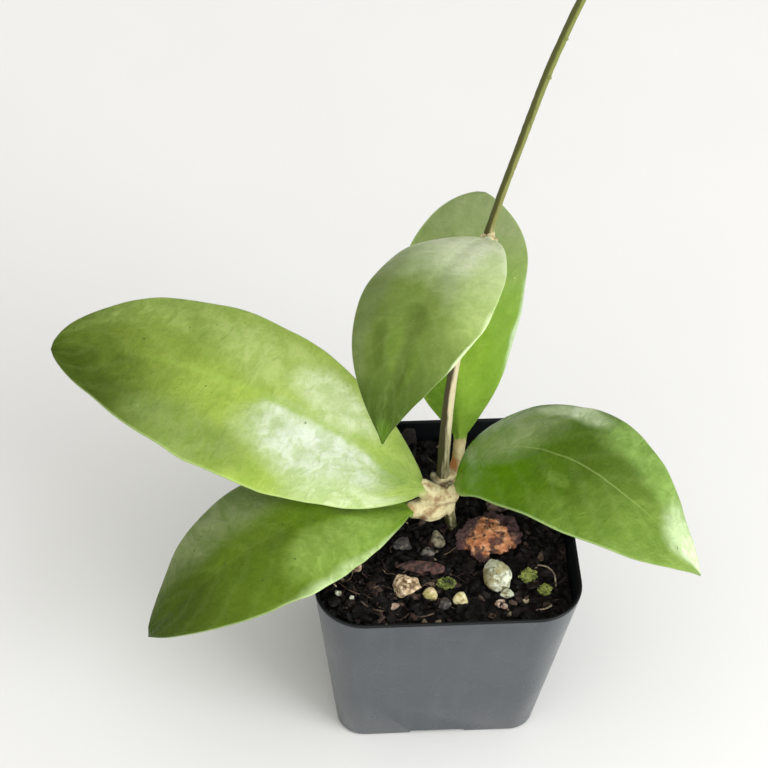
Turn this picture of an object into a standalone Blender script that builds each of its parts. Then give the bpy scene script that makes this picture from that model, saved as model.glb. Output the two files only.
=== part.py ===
"""A young hoya in a small square nursery pot.

Metres, +Z up. The origin is the middle of the pot's underside, and the pot's front faces -Y.
The named sizes below are in millimetres and degrees.
"""

import math
import random

import bmesh
import bpy
from mathutils import Matrix, Vector, noise

MM = 0.001
SEAT_GAP = 0.4  # clearance between neighbouring pieces
SHARP_ANGLE = 40.0  # edges sharper than this are drawn sharp

# Pot: thin moulded plastic, square, wider at the top, with rounded upright corners.
POT_HEIGHT = 54.0
POT_TOP_WIDTH = 64.0
POT_BASE_WIDTH = 48.6
POT_TOP_CORNER = 11.6
POT_BASE_CORNER = 6.4
POT_WALL = 0.9
POT_FLOOR = 1.2
POT_FOOT_BEVEL = 0.7
CORNER_STEPS = 6
SLOT_WIDTH = 15.0  # a drain slot in the middle of each bottom edge
SLOT_HEIGHT = 1.4
SLOT_DEPTH = 6.0
SLOT_SLANT = 0.8

# Potting mix: bark and peat, filled to a little below the rim.
MIX_LEVEL = 48.6
MIX_GRID = 24
MIX_SIDE_STEPS = 3
BROAD_RELIEF = 0.9
FINE_RELIEF = 0.7
BROAD_SCALE = 0.13
FINE_SCALE = 0.42
CRUMB_COUNT = 52
CRUMB_SIZES = (1.5, 3.6)
CRUMB_SHAPE = (1.0, 0.72, 0.62)
CRUMB_ROUGHNESS = 0.55
CRUMB_LIFT = 0.22
CRUMB_EDGE_GAP = 1.0  # to the pot's wall
CRUMB_STEM_GAP = 2.0
CRUMB_PIECE_GAP = 0.5
CRUMB_OVERLAP = 0.75  # how close two crumbs may lie, as a share of their sizes
CRUMB_SEED = 11
STONE_LUMPS = 1.9

# Main stem: each point is x, y, z and the stem's radius there.
STEM_FOOT = (3.9, 2.0, 38.0)
STEM_FOOT_RADIUS = 1.5
STEM_HOLE_TOP = 54.6  # clear above the mix
STEM_ROUTE = [
    (*STEM_FOOT, STEM_FOOT_RADIUS),
    (3.9, 2.0, 44.0, STEM_FOOT_RADIUS),
    (3.8, 2.1, 49.5, STEM_FOOT_RADIUS),
    (2.8, 2.9, 53.0, 2.1),
    (1.5, 4.4, 56.0, 2.9),
    (1.9, 7.4, 57.8, 2.5),
    (1.6, 8.7, 60.8, 1.45),
    (1.35, 9.6, 72.0, 1.2),
    (1.35, 10.8, 85.1, 1.15),
    (1.85, 12.0, 96.1, 1.15),
    (3.4, 13.9, 109.0, 1.15),
    (5.7, 15.8, 121.5, 1.2),
    (7.4, 17.2, 130.2, 1.3),
    (7.9, 17.6, 132.9, 1.75),
    (8.4, 17.8, 136.0, 1.15),
    (10.1, 18.3, 148.2, 1.0),
    (12.3, 18.8, 158.3, 1.0),
    (14.8, 19.0, 170.1, 1.0),
    (17.4, 18.9, 182.0, 1.0),
    (20.2, 18.4, 193.4, 1.0),
    (22.8, 17.8, 203.6, 0.95),
    (25.8, 17.1, 214.5, 0.95),
    (28.6, 16.6, 223.5, 0.95),
    (29.5, 16.5, 226.2, 1.3),
    (30.5, 16.4, 228.6, 0.9),
    (31.6, 16.3, 231.2, 0.6),
    (32.5, 16.2, 233.4, 0.25),
]
STEM_SIDES = 12
STEM_STEPS = 2  # rings between two points of the route

# Leaves. `heading` (about +Z from +X) and `rise` (above level) give the midrib's direction at the
# blade's base, middle and tip; `roll` turns the blade about the midrib, from base to tip;
# `fold` lifts both halves from the midrib, and `droop` curls each half down to its margin.
# `fullness` shapes the outline towards the base and towards the tip: less is rounder.
# `ripple` is a wave of the margins: its height and its number of waves.
# `stalk` is the petiole's route from its seat on the stem to the blade.
LEAF_THICKNESS = 1.5
LEAF_EDGE_ROUNDNESS = 0.5  # 1 is a pointed lens, less is fuller near the margin
LEAF_NECK_SHARE = 0.12  # of the blade's length, where the petiole runs on into the midrib
LEAF_TIP_RADIUS = 0.25
RIPPLE_SHIFT = 2.0  # between the waves of the two margins, in radians
LEAF_STATIONS = 22
LEAF_HALF_SIDES = 8
STALK_STATIONS = 6
LEAVES = {
    "leaf_large_left": {
        "base": (-4.2, 4.0, 59.8),
        "length": 98.0,
        "width": 45.5,
        "heading": (159, 153, 175),
        "rise": (16, 11, -8),
        "roll": (8, 9),
        "fold": 2,
        "droop": (2, 5),
        "fullness": (0.71, 0.67),
        "ripple": (0.35, 5.0),
        "stalk": [(-2.0, 4.1, 57.5)],
        "stalk_radius": (1.9, 1.7),
    },
    "leaf_low_left": {
        "base": (-7.2, 2.0, 54.6),
        "length": 76.0,
        "width": 38.5,
        "heading": (176, 208, 191),
        "rise": (20, -10, -56),
        "roll": (-5, 0),
        "fold": 6,
        "droop": (24, 24),
        "fullness": (0.72, 0.93),
        "ripple": (0.25, 4.0),
        "stalk": [(-1.1, 1.3, 53.4), (-3.3, 2.0, 53.3)],
        "stalk_radius": (1.6, 1.5),
    },
    "leaf_front_high": {
        "base": (6.8, 13.8, 135.4),
        "length": 61.5,
        "width": 30.5,
        "heading": (230, 238, 262),
        "rise": (38, -22, -47),
        "roll": (-18, 9),
        "fold": 8,
        "droop": (39, 32),
        "fullness": (0.83, 1.15),
        "ripple": (0.2, 4.0),
        "stalk": [(7.5, 15.4, 133.9)],
        "stalk_radius": (1.2, 1.1),
    },
    "leaf_back_upright": {
        "base": (5.7, 17.5, 62.5),
        "length": 71.5,
        "width": 34.0,
        "heading": (100, 94, 49),
        "rise": (87, 77, 61),
        "roll": (8, -39),
        "fold": 2,
        "droop": (28, 20),
        "fullness": (1.04, 0.66),
        "ripple": (0.2, 4.0),
        "stalk": [(3.2, 10.35, 57.3), (5.0, 14.2, 58.9)],
        "stalk_radius": (1.4, 1.5),
    },
    "leaf_right_arched": {
        "base": (2.8, 3.8, 61.5),
        "length": 82.0,
        "width": 40.5,
        "heading": (5, -34, -8),
        "rise": (78, -7, -59),
        "roll": (14, -12),
        "fold": 4,
        "droop": (18, 14),
        "fullness": (0.82, 1.18),
        "ripple": (0.5, 4.5),
        "stalk": [(2.7, 3.7, 59.7)],
        "stalk_radius": (1.3, 1.3),
    },
}

# Loose pieces that lie on the mix: centre, half sizes, turn about +Z, roughness of the form,
# number of subdivisions and finish.
BARK = "bark_red_brown"
PUMICE = "pumice_pale"
TAN = "stone_tan"
GREY = "stone_grey"
MOSS = "moss_green"
LOOSE_PIECES = {
    "bark_lump": ((11.6, -3.0, 50.4), (8.0, 5.6, 3.9), 8, 0.20, 3, BARK),
    "bark_sliver": ((-5.2, -11.3, 49.7), (5.2, 1.5, 1.2), -8, 0.12, 1, BARK),
    "bark_chip_right": ((15.5, 8.2, 49.6), (3.2, 2.1, 1.3), 20, 0.15, 1, BARK),
    "bark_chip_back": ((-5.3, 28.1, 51.6), (2.6, 0.9, 4.0), 5, 0.10, 1, BARK),
    "pumice_stone": ((12.6, -14.4, 50.3), (3.0, 3.7, 2.7), 14, 0.08, 2, PUMICE),
    "pumice_chip": ((14.2, -20.2, 49.5), (1.4, 1.3, 1.2), 0, 0.10, 1, PUMICE),
    "pumice_crumb_left": ((-26.1, -17.8, 49.2), (1.0, 0.9, 0.8), 0, 0.08, 1, PUMICE),
    "pumice_crumb_front": ((-22.9, -19.6, 49.2), (0.9, 0.9, 0.8), 30, 0.08, 1, PUMICE),
    "pebble_rough_tan": ((-9.8, -17.2, 50.2), (2.9, 3.3, 2.6), 10, 0.16, 2, TAN),
    "pebble_round_tan": ((-4.3, -19.1, 49.8), (1.9, 1.8, 1.6), 0, 0.06, 1, TAN),
    "pebble_yellow": ((3.1, -21.2, 49.7), (1.7, 1.5, 1.4), 0, 0.04, 1, TAN),
    "pebble_pink": ((-13.2, -22.6, 49.3), (1.5, 1.1, 1.0), 25, 0.08, 1, TAN),
    "chip_pink": ((12.6, -23.4, 49.4), (1.8, 1.4, 1.1), -20, 0.12, 1, TAN),
    "chip_pale_left": ((-21.0, -10.7, 49.7), (1.4, 1.1, 1.0), 0, 0.08, 1, TAN),
    "pebble_grey": ((-0.9, -22.2, 49.3), (1.4, 1.5, 1.1), 0, 0.05, 1, GREY),
    "chip_grey_middle": ((-0.9, -2.4, 49.5), (1.4, 2.2, 1.3), 12, 0.10, 1, GREY),
    "chip_grey_small": ((-3.6, -6.4, 49.3), (1.6, 1.2, 1.0), 0, 0.10, 1, GREY),
    "chip_grey_left": ((-9.2, -3.6, 49.4), (2.2, 1.7, 1.1), -10, 0.12, 1, GREY),
    "moss_left": ((0.6, -16.6, 49.5), (2.9, 1.3, 1.1), -4, 0.14, 1, MOSS),
    "moss_middle": ((19.9, -15.2, 49.6), (2.2, 1.7, 1.4), 20, 0.14, 1, MOSS),
    "moss_right": ((23.6, -19.2, 49.4), (1.6, 1.5, 1.2), 0, 0.14, 1, MOSS),
}

# Finishes: colour, roughness.
FINISHES = {
    "pot_slate": ((0.085, 0.105, 0.125), 0.42),
    "potting_mix_dark": ((0.020, 0.015, 0.012), 0.95),
    "stem_olive": ((0.18, 0.17, 0.07), 0.6),
    "leaf_green": ((0.20, 0.36, 0.08), 0.38),
    BARK: ((0.30, 0.12, 0.06), 0.9),
    PUMICE: ((0.60, 0.62, 0.50), 0.9),
    TAN: ((0.58, 0.46, 0.28), 0.8),
    GREY: ((0.22, 0.21, 0.19), 0.85),
    MOSS: ((0.16, 0.26, 0.05), 0.95),
}


def clear_scene():
    for old in list(bpy.data.objects):
        bpy.data.objects.remove(old)


def finish(name):
    """The named finish as a Principled material, made once."""
    if name in bpy.data.materials:
        return bpy.data.materials[name]
    colour, roughness = FINISHES[name]
    material = bpy.data.materials.new(name)
    material.use_nodes = True
    shader = material.node_tree.nodes["Principled BSDF"]
    shader.inputs["Base Color"].default_value = (*colour, 1.0)
    shader.inputs["Roughness"].default_value = roughness
    shader.inputs["Metallic"].default_value = 0.0
    return material


def add_object(name, bm, finish_name, smooth=True):
    """Turns a bmesh in millimetres into a named object in metres."""
    bmesh.ops.scale(bm, vec=(MM, MM, MM), verts=bm.verts)
    bmesh.ops.recalc_face_normals(bm, faces=bm.faces)
    mesh = bpy.data.meshes.new(name)
    bm.to_mesh(mesh)
    bm.free()
    mesh.materials.append(finish(finish_name))
    if smooth:
        mesh.shade_smooth()
        mesh.set_sharp_from_angle(angle=math.radians(SHARP_ANGLE))
    piece = bpy.data.objects.new(name, mesh)
    bpy.context.scene.collection.objects.link(piece)
    return piece


def add_guide(name, bm, collection):
    """An unrendered cutter or filler, kept in a collection of its own."""
    guide = add_object(name, bm, "potting_mix_dark", smooth=False)
    guide.hide_render = True
    guide.display_type = "WIRE"
    bpy.context.scene.collection.objects.unlink(guide)
    collection.objects.link(guide)
    return guide


def new_collection(name):
    collection = bpy.data.collections.new(name)
    bpy.context.scene.collection.children.link(collection)
    return collection


def boolean(piece, collection, operation, solver="EXACT"):
    modifier = piece.modifiers.new(operation.lower(), "BOOLEAN")
    modifier.operation = operation
    modifier.solver = solver
    modifier.operand_type = "COLLECTION"
    modifier.collection = collection
    return modifier


def apply_modifiers(piece):
    bpy.context.view_layer.update()
    evaluated = piece.evaluated_get(bpy.context.evaluated_depsgraph_get())
    applied = bpy.data.meshes.new_from_object(evaluated)
    piece.modifiers.clear()
    piece.data = applied


def remove_collection(collection):
    for guide in list(collection.objects):
        bpy.data.objects.remove(guide)
    bpy.data.collections.remove(collection)


def skin(rings):
    """A closed tube through rings of points; opposite sides of each ring are split alike."""
    bm = bmesh.new()
    rows = [[bm.verts.new(point) for point in ring] for ring in rings]
    sides = len(rows[0])
    for near, far in zip(rows, rows[1:]):
        for k in range(sides):
            n = (k + 1) % sides
            if k < sides // 2:
                bm.faces.new((near[k], near[n], far[n]))
                bm.faces.new((near[k], far[n], far[k]))
            else:
                bm.faces.new((near[k], near[n], far[k]))
                bm.faces.new((near[n], far[n], far[k]))
    bm.faces.new(reversed(rows[0]))
    bm.faces.new(rows[-1])
    return bm


# Pot -----------------------------------------------------------------------------------------


def rounded_square(half, corner, z):
    """One ring of a square with rounded corners, the same number of points at any size."""
    ring = []
    for quarter in range(4):
        middle = math.radians(45 + 90 * quarter)
        reach = (half - corner) * math.sqrt(2)
        centre = Vector((reach * math.cos(middle), reach * math.sin(middle)))
        for step in range(CORNER_STEPS + 1):
            angle = middle + math.radians(90 * (step / CORNER_STEPS - 0.5))
            ring.append(
                Vector((centre.x + corner * math.cos(angle), centre.y + corner * math.sin(angle), z))
            )
    return ring


def pot_section(z, inset=0.0):
    """Half width and corner radius of the pot's outside at a height, less an inset."""
    share = z / POT_HEIGHT
    half = (POT_BASE_WIDTH + (POT_TOP_WIDTH - POT_BASE_WIDTH) * share) / 2 - inset
    corner = POT_BASE_CORNER + (POT_TOP_CORNER - POT_BASE_CORNER) * share - inset
    return half, corner


def make_pot():
    outside = [(0.0, POT_FOOT_BEVEL), (POT_FOOT_BEVEL, 0.0), (POT_HEIGHT, 0.0)]
    inside = [(POT_HEIGHT, POT_WALL), (POT_FLOOR, POT_WALL)]
    rings = [rounded_square(*pot_section(z, inset), z) for z, inset in outside + inside]
    pot = add_object("pot", skin(rings), "pot_slate")
    slots = new_collection("drain_slots")
    for side in range(4):
        add_guide(f"drain_slot_{side}", drain_slot(side), slots)
    boolean(pot, slots, "DIFFERENCE")


def drain_slot(side):
    """A low wedge-ended block, cutting through the wall's foot and the floor's edge."""
    bm = bmesh.new()
    outer = POT_BASE_WIDTH / 2 + 1
    inner = POT_BASE_WIDTH / 2 - SLOT_DEPTH
    below = -1.0
    corners = [
        (-SLOT_WIDTH / 2, below),
        (SLOT_WIDTH / 2, below),
        (SLOT_WIDTH / 2 - SLOT_SLANT, SLOT_HEIGHT),
        (-SLOT_WIDTH / 2 + SLOT_SLANT, SLOT_HEIGHT),
    ]
    face = bm.faces.new([bm.verts.new((x, -outer, z)) for x, z in corners])
    grown = bmesh.ops.extrude_face_region(bm, geom=[face])
    moved = [item for item in grown["geom"] if isinstance(item, bmesh.types.BMVert)]
    bmesh.ops.translate(bm, vec=(0, outer - inner, 0), verts=moved)
    turn = Matrix.Rotation(math.radians(90 * side), 3, "Z")
    bmesh.ops.rotate(bm, matrix=turn, verts=bm.verts)
    return bm


# Potting mix and what lies on it ---------------------------------------------------------------


def mix_height(x, y):
    broad = noise.noise(Vector((x, y, 0)) * BROAD_SCALE)
    fine = noise.noise(Vector((y, x, 0)) * FINE_SCALE)
    return MIX_LEVEL + BROAD_RELIEF * broad + FINE_RELIEF * fine


def on_rounded_square(a, b, half, corner):
    """Maps a point of the square -1..1 to a square with rounded corners."""
    share = max(abs(a), abs(b))
    if share == 0:
        return Vector((0, 0))
    edge = Vector((a, b)) * (half / share)
    core = half - corner
    inner = Vector((max(-core, min(core, edge.x)), max(-core, min(core, edge.y))))
    outward = edge - inner
    if abs(edge.x) > core and abs(edge.y) > core:
        edge = inner + outward.normalized() * corner
    return edge * share


def mix_body():
    """The block of mix: a rough top over sides that follow the pot's inside."""
    bm = bmesh.new()
    bmesh.ops.create_grid(bm, x_segments=MIX_GRID, y_segments=MIX_GRID, size=1)
    inset = POT_WALL + SEAT_GAP
    top_half, top_corner = pot_section(MIX_LEVEL, inset)
    for vert in bm.verts:
        flat = on_rounded_square(vert.co.x, vert.co.y, top_half, top_corner)
        vert.co = Vector((flat.x, flat.y, mix_height(flat.x, flat.y)))
    floor = POT_FLOOR + SEAT_GAP
    rim = [edge for edge in bm.edges if edge.is_boundary]
    for step in range(MIX_SIDE_STEPS):
        grown = bmesh.ops.extrude_edge_only(bm, edges=rim)["geom"]
        lower = [item for item in grown if isinstance(item, bmesh.types.BMVert)]
        rim = [item for item in grown if isinstance(item, bmesh.types.BMEdge)]
        z = MIX_LEVEL + (floor - MIX_LEVEL) * (step + 1) / MIX_SIDE_STEPS
        shrink = pot_section(z, inset)[0] / pot_section(MIX_LEVEL, inset)[0]
        if step:
            above = MIX_LEVEL + (floor - MIX_LEVEL) * step / MIX_SIDE_STEPS
            shrink = pot_section(z, inset)[0] / pot_section(above, inset)[0]
        for vert in lower:
            vert.co = Vector((vert.co.x * shrink, vert.co.y * shrink, z))
    bmesh.ops.edgeloop_fill(bm, edges=rim)
    return bm


def rough_stone(centre, half_sizes, turn, roughness, subdivisions, grow=0.0):
    """A lumpy stone or chip; `grow` makes the larger copy that its seat is cut with."""
    bm = bmesh.new()
    bmesh.ops.create_icosphere(bm, subdivisions=subdivisions, radius=1)
    place = Vector(centre)
    spin = Matrix.Rotation(math.radians(turn), 3, "Z")
    for vert in bm.verts:
        lump = 1 + roughness * noise.noise(vert.co * STONE_LUMPS + place)
        shaped = Vector([vert.co[i] * half_sizes[i] * lump for i in range(3)])
        vert.co = place + spin @ shaped
    bm.normal_update()
    for vert in bm.verts:
        vert.co = vert.co + vert.normal * grow
    return bm


def crumb_places():
    """Seeded places for crumbs of bark, clear of the stem and of the loose pieces."""
    rng = random.Random(CRUMB_SEED)
    half = pot_section(MIX_LEVEL, POT_WALL + SEAT_GAP)[0]
    places = []
    while len(places) < CRUMB_COUNT:
        size = rng.uniform(*CRUMB_SIZES)
        flat = on_rounded_square(rng.uniform(-1, 1), rng.uniform(-1, 1), half, POT_TOP_CORNER)
        reach = half - size - CRUMB_EDGE_GAP
        turn = rng.uniform(0, 180)
        clear = abs(flat.x) < reach and abs(flat.y) < reach
        clear = clear and flat.length < reach + POT_TOP_CORNER / 3
        from_stem = (flat - Vector(STEM_FOOT[:2])).length - size - STEM_FOOT_RADIUS
        clear = clear and from_stem > CRUMB_STEM_GAP
        for centre, half_sizes, *_ in LOOSE_PIECES.values():
            gap = (flat - Vector(centre[:2])).length - size - max(half_sizes[:2])
            clear = clear and gap > CRUMB_PIECE_GAP
        for other, other_size, _ in places:
            clear = clear and (flat - other).length > CRUMB_OVERLAP * (size + other_size)
        if clear:
            places.append((flat, size, turn))
    return places


def make_potting_mix():
    mix = add_object("potting_mix", mix_body(), "potting_mix_dark", smooth=False)
    crumbs = new_collection("crumbs")
    for index, (flat, size, turn) in enumerate(crumb_places()):
        centre = (flat.x, flat.y, mix_height(flat.x, flat.y) + CRUMB_LIFT * size)
        half_sizes = tuple(share * size for share in CRUMB_SHAPE)
        crumb = rough_stone(centre, half_sizes, turn, CRUMB_ROUGHNESS, 1)
        add_guide(f"crumb_{index:02d}", crumb, crumbs)
    boolean(mix, crumbs, "UNION", "MANIFOLD")
    apply_modifiers(mix)
    remove_collection(crumbs)

    seats = new_collection("seats")
    for name, (centre, half_sizes, turn, roughness, steps, _) in LOOSE_PIECES.items():
        seat = rough_stone(centre, half_sizes, turn, roughness, steps, grow=SEAT_GAP)
        add_guide(f"seat_{name}", seat, seats)
    add_guide("stem_hole", stem_hole(), seats)
    boolean(mix, seats, "DIFFERENCE", "MANIFOLD")
    apply_modifiers(mix)
    remove_collection(seats)


def stem_hole():
    bm = bmesh.new()
    x, y, foot = STEM_FOOT
    depth = STEM_HOLE_TOP - foot
    radius = STEM_FOOT_RADIUS + SEAT_GAP
    bmesh.ops.create_cone(
        bm, cap_ends=True, segments=STEM_SIDES, radius1=radius, radius2=radius, depth=depth
    )
    bmesh.ops.translate(bm, vec=(x, y, foot - SEAT_GAP + depth / 2), verts=bm.verts)
    return bm


def make_loose_pieces():
    for name, (centre, half_sizes, turn, roughness, steps, finish_name) in LOOSE_PIECES.items():
        stone = rough_stone(centre, half_sizes, turn, roughness, steps)
        add_object(name, stone, finish_name)


# Stem ------------------------------------------------------------------------------------------


def smooth_route(points, steps):
    """Catmull-Rom through points of any size, so the last number may be a radius."""
    ends = [points[0], *points, points[-1]]
    route = []
    for before, start, end, after in zip(ends, ends[1:], ends[2:], ends[3:]):
        for step in range(steps):
            t = step / steps
            weights = (
                (-t + 2 * t**2 - t**3) / 2,
                (2 - 5 * t**2 + 3 * t**3) / 2,
                (t + 4 * t**2 - 3 * t**3) / 2,
                (-(t**2) + t**3) / 2,
            )
            four = (before, start, end, after)
            route.append(tuple(sum(w * p[i] for w, p in zip(weights, four)) for i in range(len(start))))
    route.append(tuple(points[-1]))
    return route


def make_stem():
    route = smooth_route(STEM_ROUTE, STEM_STEPS)
    centres = [Vector(point[:3]) for point in route]
    rings = []
    across = Vector((1, 0, 0))
    for index, point in enumerate(route):
        ahead = centres[min(index + 1, len(route) - 1)] - centres[max(index - 1, 0)]
        along = ahead.normalized()
        across = (across - along * across.dot(along)).normalized()
        up = along.cross(across)
        rings.append(round_ring(centres[index], across, up, point[3], STEM_SIDES))
    add_object("main_stem", skin(rings), "stem_olive")


def round_ring(centre, across, up, radius, sides):
    angles = [math.tau * k / sides for k in range(sides)]
    return [centre + radius * (across * math.cos(a) + up * math.sin(a)) for a in angles]


# Leaves ----------------------------------------------------------------------------------------


def through_three(values, t):
    """The quadratic that takes three values at the base, middle and tip."""
    start, middle, end = values
    return (
        start * (2 * t - 1) * (t - 1) + middle * 4 * t * (1 - t) + end * t * (2 * t - 1)
    )


def half_width(leaf, t):
    """Half the blade's width along the midrib, nothing at both ends."""
    base, tip = leaf["fullness"]
    widest = base / (base + tip)
    shape = (t / widest) ** base * ((1 - t) / (1 - widest)) ** tip
    return leaf["width"] / 2 * shape


def blade_stations(leaf):
    """Midrib points with their directions along, across and out of the blade."""
    count = LEAF_STATIONS
    ts = [0.5 - 0.5 * math.cos(math.pi * i / count) for i in range(count + 1)]
    directions = []
    for t in ts:
        heading = math.radians(through_three(leaf["heading"], t))
        rise = math.radians(through_three(leaf["rise"], t))
        roll = math.radians(leaf["roll"][0] + (leaf["roll"][1] - leaf["roll"][0]) * t)
        level = Vector((math.cos(heading), math.sin(heading), 0))
        along = level * math.cos(rise) + Vector((0, 0, math.sin(rise)))
        right = Vector((math.sin(heading), -math.cos(heading), 0))
        above = right.cross(along)
        across = right * math.cos(roll) + above * math.sin(roll)
        normal = above * math.cos(roll) - right * math.sin(roll)
        directions.append((along, across, normal))
    stations = []
    place = Vector(leaf["base"])
    for index, t in enumerate(ts):
        if index:
            mean = (directions[index][0] + directions[index - 1][0]) / 2
            place = place + mean * leaf["length"] * (t - ts[index - 1])
        stations.append((t, place.copy(), *directions[index]))
    return stations


def blade_ring(leaf, t, place, across, normal, core):
    """A thin lens across the blade: folded at the midrib, curled and rippled at its margins."""
    width = half_width(leaf, t)
    fold = math.radians(leaf["fold"])
    height, waves = leaf["ripple"]
    ring = []
    for k in range(2 * LEAF_HALF_SIDES):
        angle = math.pi * k / LEAF_HALF_SIDES
        side = math.cos(angle)
        reach = abs(side) * width
        curl = math.radians(leaf["droop"][1 if side > 0 else 0]) / (leaf["width"] / 2)
        out = math.sin(curl * reach) / curl
        down = (1 - math.cos(curl * reach)) / curl
        sideways = out * math.cos(fold) + down * math.sin(fold)
        lift = out * math.sin(fold) - down * math.cos(fold)
        lift += height * abs(side) ** 3 * math.sin(math.tau * waves * t + (RIPPLE_SHIFT if side > 0 else 0))
        lens = LEAF_THICKNESS / 2 * abs(math.sin(angle)) ** LEAF_EDGE_ROUNDNESS
        thick = max(lens, core * math.sin(angle) ** 2)
        thick = math.copysign(thick, math.sin(angle)) if k % LEAF_HALF_SIDES else 0.0
        lean = curl * reach - fold
        centre = place + across * math.copysign(sideways, side) + normal * lift
        facing = normal * math.cos(lean) + across * math.copysign(math.sin(lean), side)
        ring.append(centre + facing * thick)
    return ring


def leaf_rings(leaf):
    """Rings from the petiole's seat, along it, and over the blade to the tip."""
    stations = blade_stations(leaf)
    _, base, along, across, normal = stations[1]
    seat_radius, neck_radius = leaf["stalk_radius"]
    stalk = [*leaf["stalk"], tuple(leaf["base"])]
    if len(stalk) == 2:
        stalk.insert(1, tuple((Vector(stalk[0]) + Vector(stalk[1])) / 2))
    route = smooth_route([*stalk, tuple(base)], STALK_STATIONS // 2)
    keep = route[: STALK_STATIONS // 2 * (len(stalk) - 1) + 1]
    rings = []
    for index, point in enumerate(keep):
        share = index / (len(keep) - 1)
        ahead = Vector(route[index + 1]) - Vector(route[max(index - 1, 0)])
        way = ahead.normalized()
        side = (across - way * across.dot(way)).normalized()
        radius = seat_radius + (neck_radius - seat_radius) * share
        rings.append(round_ring(Vector(point), side, side.cross(way), radius, 2 * LEAF_HALF_SIDES))
    for t, place, _, across, normal in stations[1:-1]:
        core = neck_radius * max(0.0, 1 - t / LEAF_NECK_SHARE)
        ring = blade_ring(leaf, t, place, across, normal, core)
        if half_width(leaf, t) > neck_radius:
            rings.append(ring)
    _, tip, along, across, normal = stations[-1]
    rings.append(round_ring(tip, across, normal, LEAF_TIP_RADIUS, 2 * LEAF_HALF_SIDES))
    return rings


def make_leaves():
    for name, leaf in LEAVES.items():
        add_object(name, skin(leaf_rings(leaf)), "leaf_green")


clear_scene()
make_pot()
make_potting_mix()
make_stem()
make_leaves()
make_loose_pieces()
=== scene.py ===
"""A young hoya in its square nursery pot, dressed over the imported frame.

Sizes are in millimetres and degrees, and each mesh is brought to metres when it is set in place.
"""

import random
from math import copysign, cos, exp, hypot, pi, radians, sin, sqrt, tau

import bmesh
import bpy
from mathutils import Euler, Matrix, Vector, noise


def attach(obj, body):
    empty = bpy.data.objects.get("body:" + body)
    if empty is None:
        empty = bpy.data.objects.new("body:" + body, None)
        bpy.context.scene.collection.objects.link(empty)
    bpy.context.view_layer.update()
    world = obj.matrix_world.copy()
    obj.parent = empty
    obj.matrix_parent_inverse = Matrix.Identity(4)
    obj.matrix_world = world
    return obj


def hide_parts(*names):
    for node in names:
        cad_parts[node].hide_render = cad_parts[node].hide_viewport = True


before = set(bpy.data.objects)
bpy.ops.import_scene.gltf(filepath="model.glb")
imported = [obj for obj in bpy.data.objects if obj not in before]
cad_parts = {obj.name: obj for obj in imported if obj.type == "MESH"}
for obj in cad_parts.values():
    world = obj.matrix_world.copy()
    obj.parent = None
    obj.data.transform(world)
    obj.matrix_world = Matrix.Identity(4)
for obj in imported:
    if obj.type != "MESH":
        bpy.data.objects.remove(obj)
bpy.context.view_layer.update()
MM = 0.001


# Nursery pot: a thin square tub, injection moulded in one piece from dark plastic. Outside it is a
# satin slate grey, scuffed by handling; the lip and the inside are black plastic, made darker still
# as painted shade. A drain slot is cut through the middle of each bottom edge.
POT_HEIGHT = 54.0
POT_TOP = (32.0, 11.6)  # half width and corner radius
POT_BASE = (24.3, 6.4)
POT_CORNER_STEPS = 14
POT_WALL = 0.9
POT_FLOOR = 1.2
# The skin's rings, each a height and how far it lies inside the wall's outer line.
POT_OUTSIDE = [(0.0, 1.1), (0.08, 0.55), (0.35, 0.16)]
POT_OUTSIDE += [(z, 0.0) for z in (0.8, 18.0, 36.0, 53.35)]
POT_LIP = [(53.8, 0.1), (54.0, 0.3), (54.0, 0.58), (53.85, 0.78)]
POT_INSIDE = [(z, POT_WALL) for z in (53.4, 40.0, 20.0, POT_FLOOR)]
DRAIN_SLOT = (15.0, 6.0, 1.4, 0.8)  # width, depth into the floor, height, slant of each end


def marks_of(bm):
    """Three numbers kept on each point of a mesh, which its finish reads."""
    layers = bm.verts.layers.float_vector
    return layers.get("mark") or layers.new("mark")


def extrude(bm, edges):
    """Grows faces from a loop of edges; returns the new points, edges and faces."""
    grown = bmesh.ops.extrude_edge_only(bm, edges=edges)["geom"]
    kinds = (bmesh.types.BMVert, bmesh.types.BMEdge, bmesh.types.BMFace)
    return [[item for item in grown if isinstance(item, kind)] for kind in kinds]


def loft(bm, rings, marks=None):
    """A closed skin: a circle extruded from ring to ring, with marks left on its points."""
    place = bm.verts.layers.int.get("place") or bm.verts.layers.int.new("place")
    mark = marks_of(bm)
    made = bmesh.ops.create_circle(bm, cap_ends=False, segments=len(rings[0]), radius=1)["verts"]
    for index, vert in enumerate(made):
        vert[place] = index
    edge_loop = list(dict.fromkeys(edge for vert in made for edge in vert.link_edges))
    shell = list(bmesh.ops.edgeloop_fill(bm, edges=edge_loop)["faces"])
    verts = made
    for row, ring in enumerate(rings):
        if row:
            verts, edge_loop, faces = extrude(bm, edge_loop)
            shell += faces
        for vert in verts:
            vert.co = ring[vert[place]]
            if marks:
                vert[mark] = marks[row][vert[place]]
    shell += bmesh.ops.edgeloop_fill(bm, edges=edge_loop)["faces"]
    bmesh.ops.recalc_face_normals(bm, faces=shell)


def square_ring(half, corner, z):
    ring = []
    for quarter in range(4):
        middle = radians(45 + 90 * quarter)
        reach = (half - corner) * sqrt(2)
        for step in range(POT_CORNER_STEPS + 1):
            angle = middle + radians(90 * (step / POT_CORNER_STEPS - 0.5))
            x = reach * cos(middle) + corner * cos(angle)
            y = reach * sin(middle) + corner * sin(angle)
            ring.append(Vector((x, y, z)))
    return ring


def pot_section(z, inset):
    """Half width and corner radius of the tapering wall at a height."""
    share = z / POT_HEIGHT
    half = POT_BASE[0] + (POT_TOP[0] - POT_BASE[0]) * share - inset
    corner = POT_BASE[1] + (POT_TOP[1] - POT_BASE[1]) * share - inset
    return half, corner


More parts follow.
